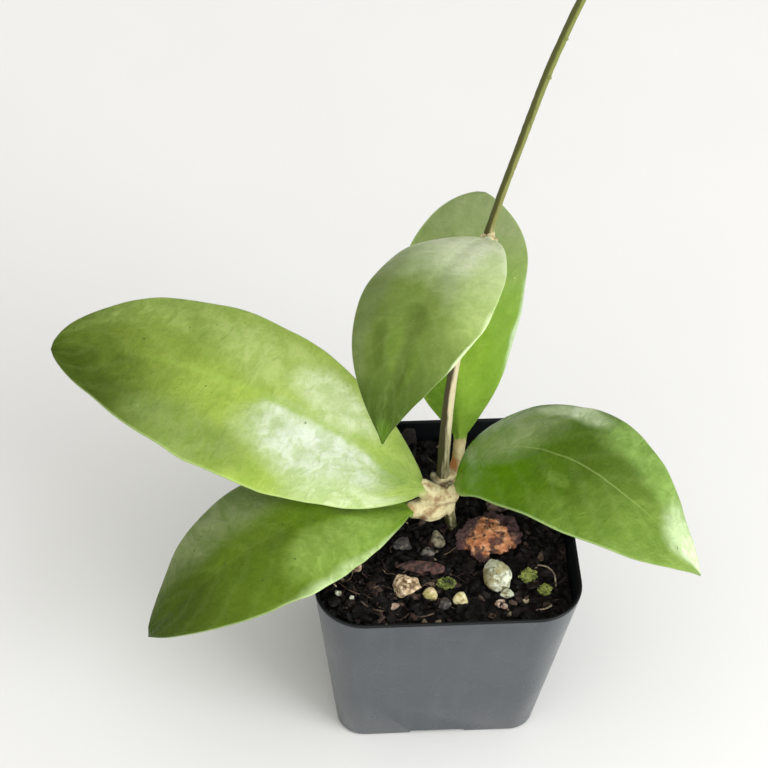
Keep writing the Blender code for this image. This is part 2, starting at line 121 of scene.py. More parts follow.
def add_to_scene(name, data):
    """An object that holds a light, a camera or a mesh; a bmesh is made a mesh first."""
    if isinstance(data, bmesh.types.BMesh):
        source, data = data, bpy.data.meshes.new(name)
        source.to_mesh(data)
        source.free()
    item = bpy.data.objects.new(name, data)
    bpy.context.scene.collection.objects.link(item)
    return item


def set_in_place(name, bm, materials, node=None, sharp=60):
    """Makes the finished piece, stands it in for its plain solid and lets it ride on the pot."""
    bmesh.ops.scale(bm, vec=(MM, MM, MM), verts=bm.verts)
    piece = add_to_scene(name, bm)
    for material in materials:
        piece.data.materials.append(material)
    piece.data.shade_smooth()
    piece.data.set_sharp_from_angle(angle=radians(sharp))
    if node:
        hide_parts(node)
    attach(piece, "root")


def new_finish(name, colour, roughness, **settings):
    """A material with its shader set, and the Object coordinates that its patterns read."""
    material = bpy.data.materials.new(name)
    material.use_nodes = True
    nodes = material.node_tree.nodes
    shader = nodes["Principled BSDF"]
    shader.inputs["Base Color"].default_value = (*colour, 1)
    shader.inputs["Roughness"].default_value = roughness
    for key, value in settings.items():
        shader.inputs[key.replace("_", " ")].default_value = value
    return material, nodes.new("ShaderNodeTexCoord").outputs["Object"]


def add(kind, inputs, **settings):
    """The outputs of a new node, in the tree of the sockets that feed it."""
    sockets = [value for value in inputs.values() if isinstance(value, bpy.types.NodeSocket)]
    tree = sockets[0].id_data
    made = tree.nodes.new("ShaderNode" + kind)
    for key, value in settings.items():
        setattr(made, key, value)
    for key, value in inputs.items():
        if isinstance(value, bpy.types.NodeSocket):
            tree.links.new(value, made.inputs[key])
        else:
            made.inputs[key].default_value = value
    return made.outputs


def grain(spot, scale, detail=3.0, roughness=0.55, stretch=None, distortion=0.0):
    """Noise, with its scale in features per metre."""
    if stretch:
        spot = add("Mapping", {"Vector": spot, "Scale": stretch})[0]
    inputs = {"Vector": spot, "Scale": scale, "Detail": detail, "Roughness": roughness}
    inputs["Distortion"] = distortion
    return add("TexNoise", inputs)["Fac"]


def cells(spot, scale):
    return add("TexVoronoi", {"Vector": spot, "Scale": scale})["Distance"]


def span(value, low, high, to_low=0.0, to_high=1.0):
    inputs = {"Value": value, "From Min": low, "From Max": high}
    inputs.update({"To Min": to_low, "To Max": to_high})
    return add("MapRange", inputs, interpolation_type="SMOOTHSTEP")[0]


def sums(first, second=0.0, operation="ADD"):
    return add("Math", {0: first, 1: second}, operation=operation)[0]


def times(first, second):
    return sums(first, second, "MULTIPLY")


def part(vector, axis):
    return add("SeparateXYZ", {"Vector": vector})[axis]


def marks_on(spot):
    """What the mesh's points were marked with."""
    reader = spot.id_data.nodes.new("ShaderNodeAttribute")
    reader.attribute_name = "mark"
    return reader.outputs["Vector"]


def tint(factor, first, second, blend="MIX"):
    inputs = {0: factor}
    for key, value in ((6, first), (7, second)):
        inputs[key] = (*value, 1) if isinstance(value, tuple) else value
    return add("Mix", inputs, data_type="RGBA", blend_type=blend)[2]


def shades(value, stops):
    """Colours along a value, each stop a place and a colour."""
    colour = add("ValToRGB", {"Fac": value})[0]
    ramp = colour.node.color_ramp
    while len(ramp.elements) < len(stops):
        ramp.elements.new(0.5)
    for element, (place, shade) in zip(ramp.elements, stops):
        element.position = place
        element.color = (*shade, 1)
    return colour


def coat(material, colour, roughness=None, relief=None):
    """Feeds a material its colour, its roughness and its relief: height, strength and depth."""
    feeds = {"Base Color": colour}
    if roughness:
        feeds["Roughness"] = roughness
    if relief:
        height, strength, depth = relief
        inputs = {"Height": height, "Strength": strength, "Distance": depth * MM}
        feeds["Normal"] = add("Bump", inputs)[0]
    for key, value in feeds.items():
        material.node_tree.links.new(value, material.node_tree.nodes["Principled BSDF"].inputs[key])
    return material


def pot_slate():
    material, spot = new_finish("pot_slate", (0.06, 0.07, 0.08), 0.34)
    clouds = grain(spot, 70, 4)
    streaks = grain(spot, 1, 3, stretch=(260, 260, 22))
    scuffs = span(grain(spot, 1, 6, 0.7, stretch=(90, 90, 500)), 0.56, 0.75)
    colour = tint(clouds, (0.031, 0.038, 0.044), (0.048, 0.057, 0.064))
    colour = tint(span(streaks, 0.45, 0.75, 0.0, 0.3), colour, (0.07, 0.078, 0.085))
    colour = tint(times(scuffs, 0.1), colour, (0.13, 0.135, 0.14))
    # Painted highlight on the right side of the pot, where the window lights it.
    painted_highlight = span(part(spot, "X"), 0.02, 0.031, 0.0, 0.75)  # on the right, by the window
    colour = tint(painted_highlight, colour, (0.082, 0.093, 0.098))
    rough = sums(span(clouds, 0.3, 0.7, 0.21, 0.3), times(scuffs, 0.06))
    return coat(material, colour, rough, (grain(spot, 1800, 2), 0.12, 0.05))


# The lip and the inside: black plastic, darker than the outside as painted shade in the pot.
def pot_black_shaded():
    material, spot = new_finish("pot_black_shaded", (0.005, 0.006, 0.007), 0.5, Specular_IOR_Level=0.2)
    dust = span(grain(spot, 220, 5, 0.65), 0.55, 0.85)
    colour = tint(times(dust, 0.4), (0.002, 0.003, 0.004), (0.018, 0.015, 0.012))
    return coat(material, colour, span(dust, 0, 1, 0.46, 0.8), (grain(spot, 1500, 2), 0.12, 0.05))


def add_block(bm, low, high):
    made = bmesh.ops.create_cube(bm, size=1)["verts"]
    for vert in made:
        ends = zip(low, high, vert.co)
        vert.co = Vector([(start + end) / 2 + c * (end - start) for start, end, c in ends])
    return made


def cut_away(bm, cutters):
    """The mesh less its cutters, by a Boolean that is then applied."""
    blank, cutter = add_to_scene("blank", bm), add_to_scene("cutters", cutters)
    cut = blank.modifiers.new("cut", "BOOLEAN")
    cut.object, cut.operation, cut.solver = cutter, "DIFFERENCE", "EXACT"
    return take_shape(blank, cutter)


def take_shape(holder, *others):
    """A holder's shape with its modifiers applied; the holder and its helpers are removed."""
    bpy.context.view_layer.update()
    evaluated = holder.evaluated_get(bpy.context.evaluated_depsgraph_get())
    result = bmesh.new()
    result.from_mesh(evaluated.to_mesh())
    evaluated.to_mesh_clear()
    for helper in (holder, *others):
        bpy.data.objects.remove(helper)
    return result


bm = bmesh.new()
sections = POT_OUTSIDE + POT_LIP + POT_INSIDE
loft(bm, [square_ring(*pot_section(z, inset), z) for z, inset in sections])
cutters = bmesh.new()
width, depth, height, slant = DRAIN_SLOT
for side in range(4):
    outer, inner = -POT_BASE[0] - 2, depth - POT_BASE[0]
    slot = add_block(cutters, (-width / 2, outer, -2), (width / 2, inner, height))
    for vert in slot:
        if vert.co.z > 0:
            vert.co.x -= copysign(slant, vert.co.x)
    turn = Matrix.Rotation(radians(90 * side), 3, "Z")
    bmesh.ops.rotate(cutters, matrix=turn, verts=slot)
bm = cut_away(bm, cutters)
for face in bm.faces:
    middle = face.calc_center_median()
    half, _ = pot_section(middle.z, POT_LIP[0][1])
    inside = max(abs(middle.x), abs(middle.y)) < half and face.normal.xy.dot(middle.xy) < 0
    wall = inside and abs(face.normal.z) < 0.9
    lip = middle.z > POT_OUTSIDE[-1][0]
    floor = face.normal.z > 0.9 and abs(middle.z - POT_FLOOR) < 0.5
    # The lip, the inner walls and the floor take the black finish with its painted shade.
    face.material_index = int(wall or lip or floor)
set_in_place("pot_shell", bm, [pot_slate(), pot_black_shaded()], "pot", sharp=35)


# Potting mix: chunks of bark and dark peat, pressed in to a little below the lip and left rough.
# It is built as a bed of packed lumps with loose flakes and fibres strewn over it.
MIX_LEVEL = 48.6
BED_STEPS = 150
BED_INSET = POT_WALL + 0.35  # from the pot's outer line to the bed's edge
BED_FOOT = (30.0, 12.0, 1.7)  # heights of the bed's lower rings
BED_BROAD = (0.9, 0.13)  # height of the relief, and its scale
BED_FINE = (0.7, 0.42)  # the same, for the finer relief
CHUNKS = (1.1, 0.42)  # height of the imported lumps, and their scale
CHUNK_SINK = 0.9  # how far a packed lump lies in the bed, as a share of its height
STEM_FOOT = (Vector((3.9, 2.0)), 2.2)  # where the stem stands, and how much is left clear round it
HANDFULS = 34
FLAKES_IN_HANDFUL = 38
FLAKE_SIZES = (0.45, 2.0)
FLAKE_TILT = 38
BLACK, BROWN, PALE = (0.05, 0.5), (0.6, 0.8), (0.86, 0.99)  # shades of the flakes
BROWN_FROM, PALE_FROM = 0.84, 0.965  # shares of the flakes that are darker than these
LARGEST_PALE = 1.2
FIBRES = 120
FIBRE_RADII = (0.06, 0.15)
FIBRE_POINTS = 5
FIBRE_BEND = 0.7
FIBRE_STRIDE = (0.6, 1.8)
FIBRE_GRADES = (0.45, 0.62, 0.72, 0.8, 0.88)
FRONT_LEFT = ((-25, -8), (-25, -12), 0.45)  # where more fibres lie, and their share
# Pale strands of root and straw, as routes across the top: right side first, then the front left.
STRANDS = [
    [(22.6, -11.4), (25.0, -12.2), (26.4, -14.6), (26.2, -18.2)],
    [(20.4, -11.2), (21.4, -11.6), (22.6, -11.7)],
    [(20.8, -24.9), (22.8, -25.0), (24.6, -23.9)],
    [(-25.0, -15.4), (-22.6, -17.4), (-20.4, -18.2)],
    [(-20.8, -20.6), (-18.4, -22.8), (-15.6, -23.8)],
    [(-9.0, -24.8), (-6.4, -25.4), (-3.6, -24.6)],
]
STRAND = (0.24, 0.85)  # radius and shade
MIX_SEED = 11


def on_rounded_square(a, b, half, corner):
    """Maps a point of the square -1..1 to a square with rounded corners."""
    share = max(abs(a), abs(b))
    if share == 0:
        return Vector((0, 0))
    edge = Vector((a, b)) * (half / share)
    core = half - corner
    inner = Vector((max(-core, min(core, edge.x)), max(-core, min(core, edge.y))))
    outward = edge - inner
    if abs(edge.x) > core and abs(edge.y) > core:
        edge = inner + outward.normalized() * corner
    return edge * share


def bed_height(x, y):
    broad = noise.noise(Vector((x, y, 0)) * BED_BROAD[1])
    fine = noise.noise(Vector((y, x, 0)) * BED_FINE[1])
    return MIX_LEVEL + BED_BROAD[0] * broad + BED_FINE[0] * fine


def chunk_height(x, y):
    """Packed lumps: round tops, each at its own level, with dark gaps between them."""
    spot = Vector((x, y, 0.3 * noise.noise(Vector((x, y, 9)) * 0.8))) * CHUNKS[1]
    (near, far, *_), (middle, *_) = noise.voronoi(spot)
    level = noise.cell(middle * 7.3)
    gap = min(1.0, 2.2 * (far - near))
    return CHUNKS[0] * (gap ** 0.6) * (0.45 + 0.75 * level) - CHUNK_SINK * CHUNKS[0], level


def add_flake(bm, tone, centre, sizes, tilt, grade):
    """One broken flake of bark: a lumpy, flattened solid."""
    made = bmesh.ops.create_icosphere(bm, subdivisions=2, radius=1)["verts"]
    turn = Euler([radians(angle) for angle in tilt]).to_matrix()
    for vert in made:
        blunt = Vector([copysign(abs(c) ** 0.75, c) for c in vert.co])
        lump = 1 + 0.55 * noise.noise(vert.co * 1.4 + centre)
        vert.co = centre + turn @ Vector([blunt[i] * sizes[i] * lump for i in range(3)])
        vert[tone] = grade


def smooth_route(points, steps):
    """Catmull-Rom through points of any size, so the last number may be a radius."""
    ends = [points[0], *points, points[-1]]
    route = []
    for before, start, end, after in zip(ends, ends[1:], ends[2:], ends[3:]):
        for step in range(steps):
            t = step / steps
            weights = (
                (-t + 2 * t**2 - t**3) / 2,
                (2 - 5 * t**2 + 3 * t**3) / 2,
                (t + 4 * t**2 - 3 * t**3) / 2,
                (-(t**2) + t**3) / 2,
            )
            four = (before, start, end, after)
            sizes = range(len(start))
            route.append(tuple(sum(w * p[i] for w, p in zip(weights, four)) for i in sizes))
    route.append(tuple(points[-1]))
    return route


def round_ring(centre, across, up, radius, sides):
    angles = [tau * k / sides for k in range(sides)]
    return [centre + radius * (across * cos(a) + up * sin(a)) for a in angles]


def rod_rings(route, sides, swell=None):
    """Rings square to a route of (x, y, z, radius); swell may change a point's distance out."""
    centres = [Vector(point[:3]) for point in route]
    across = Vector((1, 0, 0))
    rings = []
    for index, point in enumerate(route):
        ahead = centres[min(index + 1, len(route) - 1)] - centres[max(index - 1, 0)]
        along = ahead.normalized()
        across = (across - along * across.dot(along)).normalized()
        ring = round_ring(centres[index], across, along.cross(across), point[3], sides)
        if swell:
            ring = [p + (p - centres[index]).normalized() * swell(p) for p in ring]
        rings.append(ring)
    return rings


def gather(bm, piece):
    """Adds a finished small mesh to a larger one, and frees it."""
    holder = bpy.data.meshes.new("gathered")
    piece.to_mesh(holder)
    piece.free()
    bm.from_mesh(holder)
    bpy.data.meshes.remove(holder)


def lay_fibre(bm, flats, rng, radius, grade):
    points = []
    for x, y in flats:
        z = bed_height(x, y) + rng.uniform(0.1, 0.9)
        points.append((x, y, z, radius * rng.uniform(0.7, 1.2)))
    rings = rod_rings(smooth_route(points, 4), 5)
    fibre = bmesh.new()
    loft(fibre, rings, [[(grade, 0, 0)] * 5 for _ in rings])
    gather(bm, fibre)


def mix_dark():
    material, spot = new_finish("mix_dark", (0.02, 0.015, 0.012), 0.85, Specular_IOR_Level=0.2)
    speckle = grain(spot, 900, 5, 0.7)
    grade = sums(part(marks_on(spot), "X"), span(speckle, 0.2, 0.8, -0.1, 0.1))
    # Lighter towards the right: the brown crumbs there, and painted light lifting the leaf's
    # shadow.
    grade = sums(grade, span(part(spot, "X"), 0.01, 0.024, 0.0, 0.12))  # painted light, brown crumbs
    stops = [(0.0, (0.0011, 0.001, 0.001)), (0.4, (0.0036, 0.0028, 0.0025))]
    stops += [(0.66, (0.017, 0.011, 0.0095)), (0.8, (0.06, 0.036, 0.028))]
    stops += [(0.9, (0.15, 0.11, 0.075)), (1.0, (0.4, 0.34, 0.22))]
    colour = shades(grade, stops)
    dust = span(grain(spot, 2600, 3, 0.6), 0.6, 0.74, 0.0, 0.28)
    colour = tint(dust, colour, (0.065, 0.048, 0.038))
    rough = span(grain(spot, 500, 3), 0.35, 0.65, 0.42, 0.95)
    return coat(material, colour, rough, (grain(spot, 1700, 5, 0.7), 0.7, 0.35))


rng = random.Random(MIX_SEED)
bm = bmesh.new()
tone = marks_of(bm)
bmesh.ops.create_grid(bm, x_segments=BED_STEPS, y_segments=BED_STEPS, size=1)
half, corner = pot_section(MIX_LEVEL, BED_INSET)
for vert in bm.verts:
    flat = on_rounded_square(vert.co.x, vert.co.y, half, corner)
    lift, level = chunk_height(flat.x, flat.y)
    vert.co = Vector((flat.x, flat.y, bed_height(flat.x, flat.y) + lift))
    vert[tone] = (0.22 + 0.34 * level * level, level, 0)
rim = [edge for edge in bm.edges if edge.is_boundary]
for z in BED_FOOT:
    lower, rim, _ = extrude(bm, rim)
    for vert in lower:
        above = pot_section(vert.co.z, BED_INSET)[0]
        shrink = pot_section(z, BED_INSET)[0] / above
        vert.co = Vector((vert.co.x * shrink, vert.co.y * shrink, z))
bmesh.ops.edgeloop_fill(bm, edges=rim)
bmesh.ops.recalc_face_normals(bm, faces=bm.faces)

for _ in range(HANDFULS):
    handful = bmesh.new()
    tone = marks_of(handful)
    for _ in range(FLAKES_IN_HANDFUL):
        size = rng.uniform(*FLAKE_SIZES) * rng.uniform(0.5, 1)
        flat = on_rounded_square(rng.uniform(-1, 1), rng.uniform(-1, 1), half - size * 0.8, corner)
        lift = rng.uniform(-0.35, 0.4) + 0.15 * size
        centre = Vector((flat.x, flat.y, bed_height(flat.x, flat.y) + lift))
        sizes = (size, size * rng.uniform(0.35, 0.8), size * rng.uniform(0.2, 0.6))
        tilt = (*(rng.uniform(-FLAKE_TILT, FLAKE_TILT) for _ in range(2)), rng.uniform(0, 360))
        kind = rng.random()
        grade = rng.uniform(*BLACK)
        if kind > BROWN_FROM:
            grade = rng.uniform(*BROWN)
        if kind > PALE_FROM and size < LARGEST_PALE:
            grade = rng.uniform(*PALE)
        if (flat - STEM_FOOT[0]).length > STEM_FOOT[1] + size:
            add_flake(handful, tone, centre, sizes, tilt, (grade, rng.random(), 0))
    gather(bm, handful)

for _ in range(FIBRES):
    flat = on_rounded_square(rng.uniform(-1, 1) ** 3, rng.uniform(-1, 1), half - 4, corner)
    if rng.random() < FRONT_LEFT[2]:
        flat = Vector((rng.uniform(*FRONT_LEFT[0]), rng.uniform(*FRONT_LEFT[1])))
    heading = rng.uniform(0, tau)
    radius = rng.uniform(*FIBRE_RADII)
    flats = []
    for _ in range(FIBRE_POINTS):
        flats.append(flat.to_tuple())
        heading += rng.uniform(-FIBRE_BEND, FIBRE_BEND)
        flat = flat + Vector((cos(heading), sin(heading))) * rng.uniform(*FIBRE_STRIDE)
    inside = all(max(abs(x), abs(y)) < half - 0.6 and hypot(x, y) < half + 3 for x, y in flats)
    grade = rng.choice(FIBRE_GRADES)
    if inside:
        lay_fibre(bm, flats, rng, radius, grade)
for flats in STRANDS:
    lay_fibre(bm, flats, rng, *STRAND)
set_in_place("mix_bed", bm, [mix_dark()], "potting_mix", sharp=28)


# Loose stones: pumice, weathered pebbles and grey grit that came up while the plant was potted.
# They lie half sunk in the mix; the pumice is porous, the pebbles are worn and dusty.
STONES = {
    "pumice_stone": ((12.4, -14.8, 50.4), (3.1, 3.8, 2.8), 16, 0.1, "pumice"),
    "pumice_chip": ((14.2, -20.2, 49.5), (1.4, 1.3, 1.2), 0, 0.1, "pumice"),
    "pumice_crumb_left": ((-26.1, -17.8, 49.2), (0.8, 0.7, 0.8), 0, 0.08, "pumice"),
    "pumice_crumb_front": ((-22.9, -19.6, 49.2), (0.7, 0.6, 0.8), 30, 0.08, "pumice"),
    "pebble_rough_tan": ((-9.8, -17.2, 50.2), (2.9, 3.3, 2.6), 10, 0.16, "tan"),
    "pebble_round_tan": ((-4.1, -19.9, 49.8), (1.9, 1.7, 1.5), 0, 0.06, "yellow_tan"),
    "pebble_yellow": ((3.1, -21.2, 49.7), (1.7, 1.5, 1.4), 0, 0.04, "yellow"),
    "pebble_pink": ((-12.9, -22.6, 49.3), (1.05, 0.85, 0.9), 40, 0.08, "pink"),
    "chip_pink": ((12.8, -23.2, 49.4), (1.5, 1.3, 1.1), -20, 0.16, "pink"),
    "chip_pale_left": ((-21.0, -10.7, 49.7), (1.4, 1.1, 1.0), 0, 0.08, "tan"),
    "pebble_grey": ((-0.9, -22.2, 49.3), (1.4, 1.5, 1.1), 0, 0.05, "grey"),
    "chip_grey_middle": ((-0.9, -2.6, 49.5), (1.4, 2.2, 1.3), 12, 0.1, "dusty"),
    "chip_grey_small": ((-3.6, -6.4, 49.3), (1.6, 1.2, 1.0), 0, 0.1, "grey"),
    "chip_grey_left": ((-9.2, -3.6, 49.4), (2.2, 1.7, 1.1), -10, 0.12, "grey"),
}
# Each kind's colour in its hollows, its body, its worn tops and its stains; its pores' depth.
STONE_FINISHES = dict(
    pumice=((0.16, 0.14, 0.07), (0.42, 0.44, 0.31), (0.66, 0.69, 0.56), (0.33, 0.29, 0.13), 0.2),
    tan=((0.09, 0.05, 0.025), (0.36, 0.25, 0.14), (0.74, 0.6, 0.41), (0.2, 0.12, 0.05), 0.34),
    yellow=((0.26, 0.2, 0.08), (0.58, 0.52, 0.26), (0.76, 0.72, 0.46), (0.4, 0.33, 0.13), 0.08),
    yellow_tan=((0.18, 0.12, 0.05), (0.42, 0.33, 0.13), (0.7, 0.56, 0.36), (0.3, 0.3, 0.09), 0.14),
    pink=((0.1, 0.05, 0.04), (0.44, 0.31, 0.24), (0.74, 0.61, 0.5), (0.2, 0.12, 0.07), 0.2),
    grey=((0.014, 0.013, 0.012), (0.05, 0.046, 0.042), (0.15, 0.135, 0.11))
    + ((0.035, 0.03, 0.028), 0.16),
    dusty=((0.03, 0.026, 0.02), (0.13, 0.11, 0.07), (0.28, 0.25, 0.17), (0.07, 0.055, 0.035), 0.2),
)
STONE_TAPER = 0.28  # how much narrower a stone is at its far end
# Darker left side of the pumice, own olive-brown and painted shade: its middle, reach and colour.
PUMICE_SHADED_SIDE = ((9.9, -16.0, 50.0), (2.9, 3.8, 3.8), (0.15, 0.12, 0.035))
STONE_FINENESS = 5
STONE_BREAKS = (9, 0.66, 1.0)  # flat faces broken off a stone, and how near the middle they come
STONE_REACH = 1.1  # where no face is broken off
STONE_LUMPS = (1.06, 1.9)  # a stone's mean size, and the scale of its lumps
PORE_SIZE = 0.42  # as a share of the space between pores
BREAK_SHARPNESS = 12


def broken_reach(way, breaks):
    """How far a stone reaches along a direction once flat faces are broken off it."""
    total = sum((max(0.0, way.dot(face)) / depth) ** BREAK_SHARPNESS for face, depth in breaks)
    return min(STONE_REACH, total ** (-1 / BREAK_SHARPNESS)) if total > 0 else STONE_REACH


def weathered(name, centre, half_sizes, turn, roughness, pores, fineness, pore_scale=1.3):
    """A broken, worn stone with pores; each point is marked with how deep in a hollow it lies."""
    rng = random.Random(name)
    breaks = []
    count, nearest, farthest = STONE_BREAKS
    for _ in range(count):
        face = Vector((rng.gauss(0, 1), rng.gauss(0, 1), rng.gauss(0, 1))).normalized()
        breaks.append((face, rng.uniform(nearest, farthest)))
    bm = bmesh.new()
    mark = marks_of(bm)
    bmesh.ops.create_icosphere(bm, subdivisions=fineness, radius=1)
    place = Vector(centre)
    spin = Matrix.Rotation(radians(turn), 3, "Z")
    mean, scale = STONE_LUMPS
    for vert in bm.verts:
        way = vert.co.copy()
        lump = broken_reach(way, breaks) * (mean + roughness * noise.noise(way * scale + place))
        shaped = Vector([way[i] * half_sizes[i] * lump for i in range(3)])
        shaped.x *= 1 - STONE_TAPER * way.y
        spot = (shaped + place) * pore_scale
        (near, *_), _ = noise.voronoi(spot)
        pit = max(0.0, 1 - near / PORE_SIZE) * max(0.0, 0.3 + 1.6 * noise.noise(spot * 0.6))
        rub = noise.fractal(spot * 0.8, 0.9, 2.1, 5)
        depth = pores * (0.9 * pit - 0.6 * rub)
        vert.co = place + spin @ (shaped - way * depth)
        vert[mark] = (max(0.0, min(1.0, 0.5 + 0.55 * rub - 0.9 * pit)), pit, 0)
    return bm


def patch(spot, middle, reach, edge=(0.6, 1.1), amount=1.0):
    """1 in an oval patch of the given vector, fading out at its edge."""
    inputs = {"Vector": spot, "Location": middle, "Scale": reach}
    moved = add("Mapping", inputs, vector_type="TEXTURE")[0]
    away = add("VectorMath", {0: moved}, operation="LENGTH")["Value"]
    return span(away, edge[0], edge[1], amount, 0.0)


def wander(spot, scale, amount, detail=3.0):
    """The given vector pushed about by noise, so that an edge drawn with it is ragged."""
    inputs = {"Vector": spot, "Scale": scale, "Detail": detail}
    colours = add("TexNoise", inputs)["Color"]
    centred = add("VectorMath", {0: colours, 1: (0.5, 0.5, 0.5)}, operation="SUBTRACT")[0]
    inputs = {0: centred, 1: (amount, amount, amount), 2: spot}
    return add("VectorMath", inputs, operation="MULTIPLY_ADD")[0]


def in_metres(values):
    return tuple(value * MM for value in values)


def stone_finish(kind):
    hollow, body, top, stain, _ = STONE_FINISHES[kind]
    material, spot = new_finish("stone_" + kind, body, 0.85)
    worn = part(marks_on(spot), "X")
    patchy = sums(worn, span(grain(spot, 620, 4, 0.6), 0.25, 0.75, -0.24, 0.24))
    colour = shades(patchy, [(0.12, hollow), (0.42, body), (0.8, top)])
    stained = span(grain(spot, 230, 3, 0.6), 0.5, 0.62, 0.0, 0.75)
    colour = tint(stained, colour, stain)
    ragged = wander(spot, 500, 0.003)
    if kind == "pumice":
        # painted shade, over some olive-brown of its own, on the pumice's side away from the light
        middle, reach, shade = PUMICE_SHADED_SIDE
        shaded_side = patch(ragged, in_metres(middle), in_metres(reach), (0.55, 1.05), 0.9)
        colour = tint(shaded_side, colour, shade)
    colour = tint(span(part(ragged, "Z"), 0.0488, 0.05, 0.85, 0.0), colour, (0.018, 0.014, 0.011))
    soil = span(grain(spot, 1500, 4, 0.7), 0.6, 0.72, 0.0, 0.6)
    colour = tint(soil, colour, (0.06, 0.042, 0.03))
    rough = span(worn, 0, 1, 0.95, 0.7)
    return coat(material, colour, rough, (grain(spot, 2600, 5, 0.7), 0.6, 0.2))


finishes = {kind: stone_finish(kind) for kind in STONE_FINISHES}
for name, (centre, half_sizes, turn, roughness, kind) in STONES.items():
    fineness = STONE_FINENESS if max(half_sizes) > 2 else STONE_FINENESS - 1
    bm = weathered(name, centre, half_sizes, turn, roughness, STONE_FINISHES[kind][-1], fineness)
    set_in_place(name + "_worn", bm, [finishes[kind]], name)


# Bark: one large crumbling lump and three slivers of orchid bark. The lump is broken open, so its
# orange-red heart shows between purple-brown crusts; it is kneaded from overlapping knobs.
LUMP_RUNS = [
    [(5.3, -4, 50, 1.9), (7.4, -2.6, 50.6, 2.7), (9.9, -1.2, 51.2, 2.9), (12.2, -1.6, 51.5, 2.8)],
    [(11.4, -4.6, 51.6, 2.9), (14.2, -3.9, 51.3, 2.7), (17.2, -3.2, 50.6, 2.3)],
    [(12.6, 0.6, 51.1, 2.2), (15.2, 0.3, 50.9, 2.0), (17.0, -0.6, 50.7, 2.0)],
    [(8.8, -5.3, 51.1, 2.3), (8.9, -7.6, 50.8, 1.9), (9.2, -9.4, 50.5, 1.4)],
    [(12.0, -6.6, 50.9, 1.9), (14.9, -6.3, 50.5, 1.8)],
    [(8.6, 1.2, 50.6, 1.7)],
    [(10.4, -3.2, 52.9, 1.3)],
    [(13.4, -2.6, 53.0, 1.1)],
    [(15.9, -4.9, 51.9, 1.2)],
    [(7.2, -4.6, 51.9, 1.1)],
]
LUMP_HEART = ((11.9, -5.7, 52.0), (6.2, 5.9, 9.0))  # middle and reach of the open, orange part
BARK_SLIVERS = {
    "bark_sliver": ((-5.2, -11.3, 49.7), (5.2, 1.5, 1.2), -8, 0.12, 0.22, 5, 1.0, "weathered"),
    "bark_chip_right": ((15.5, 8.2, 49.6), (3.2, 2.1, 1.3), 20, 0.15, 0.28, 5, 0.9, "pale"),
    "bark_chip_back": ((-5.3, 28.1, 51.6), (2.0, 0.8, 3.5), 5, 0.16, 0.3, 5, 0.9, "dark"),
}
# Colours of each kind of sliver: its heart, its crust and its worn edges.
SLIVER_FINISHES = {
    "weathered": ((0.1, 0.04, 0.032), (0.026, 0.015, 0.014), (0.22, 0.115, 0.095)),
    "pale": ((0.17, 0.1, 0.078), (0.06, 0.037, 0.03), (0.27, 0.18, 0.14)),
    "dark": ((0.012, 0.008, 0.007), (0.006, 0.005, 0.005), (0.045, 0.028, 0.02)),
}


def knead(runs, voxel, easing=6):
    """Presses runs of overlapping lumps into one smooth skin."""
    bm = bmesh.new()
    for run in runs:
        for x, y, z, radius in smooth_route(run, 5):
            ball = bmesh.ops.create_icosphere(bm, subdivisions=3, radius=radius)["verts"]
            bmesh.ops.translate(bm, verts=ball, vec=(x, y, z))
    lumps = add_to_scene("lumps", bm)
    remesh = lumps.modifiers.new("remesh", "REMESH")
    remesh.mode, remesh.voxel_size = "VOXEL", voxel
    lumps.modifiers.new("ease", "SMOOTH").iterations = easing
    return take_shape(lumps)


def roughen(bm, amount, scale):
    """Wrinkles a kneaded skin; each point is marked with its height."""
    bm.normal_update()
    mark = marks_of(bm)
    moved = []
    for vert in bm.verts:
        wrinkle = noise.fractal(vert.co * scale, 0.8, 2.1, 4)
        vert[mark] = (0.5 + 0.8 * wrinkle, 0, 0)
        moved.append(vert.co + vert.normal * amount * wrinkle)
    for vert, spot in zip(bm.verts, moved):
        vert.co = spot


def lump_finish():
    material, spot = new_finish("bark_broken", (0.4, 0.15, 0.07), 0.9)
    worn = part(marks_on(spot), "X")
    ragged = wander(spot, 230, 0.0075, 5)
    middle, reach = LUMP_HEART
    heart = patch(ragged, in_metres(middle), in_metres(reach), (0.75, 1.0))
    fibres = grain(spot, 420, 5, 0.7)
    stops = [(0.3, (0.02, 0.011, 0.012)), (0.5, (0.065, 0.034, 0.034)), (0.7, (0.15, 0.088, 0.082))]
    crust = shades(fibres, stops)
    stops = [(0.3, (0.24, 0.068, 0.028)), (0.46, (0.49, 0.185, 0.071)), (0.62, (0.74, 0.4, 0.21))]
    open_wood = shades(fibres, stops)
    colour = tint(heart, crust, open_wood)
    knots = span(grain(spot, 330, 3), 0.5, 0.58, 0.0, 0.85)
    colour = tint(knots, colour, (0.075, 0.036, 0.038))
    colour = tint(span(worn, 0.22, 0.5, 0.85, 0.0), colour, (0.06, 0.026, 0.026))
    return coat(material, colour, relief=(grain(spot, 1300, 6, 0.75), 0.9, 0.5))


def sliver_finish(kind):
    heart, crust, edge = SLIVER_FINISHES[kind]
    material, spot = new_finish("bark_" + kind, heart, 0.9)
    worn = part(marks_on(spot), "X")
    fresh = span(grain(spot, 130, 4, 0.6, distortion=0.6), 0.4, 0.56)
    colour = tint(fresh, crust, heart)
    flecks = span(grain(spot, 700, 5, 0.7), 0.4, 0.68)
    colour = tint(times(flecks, 0.55), colour, edge)
    colour = tint(span(worn, 0.18, 0.55, 0.9, 0.0), colour, (0.016, 0.01, 0.01))
    return coat(material, colour, relief=(grain(spot, 1500, 6, 0.75), 0.9, 0.5))


lump = knead(LUMP_RUNS, 0.24)
roughen(lump, 1.1, 0.55)
set_in_place("bark_lump_crust", lump, [lump_finish()], "bark_lump", sharp=70)
finishes = {kind: sliver_finish(kind) for kind in SLIVER_FINISHES}
for name, (*shape, kind) in BARK_SLIVERS.items():
    bm = weathered(name, *shape)
    set_in_place(name + "_crust", bm, [finishes[kind]], name, sharp=70)


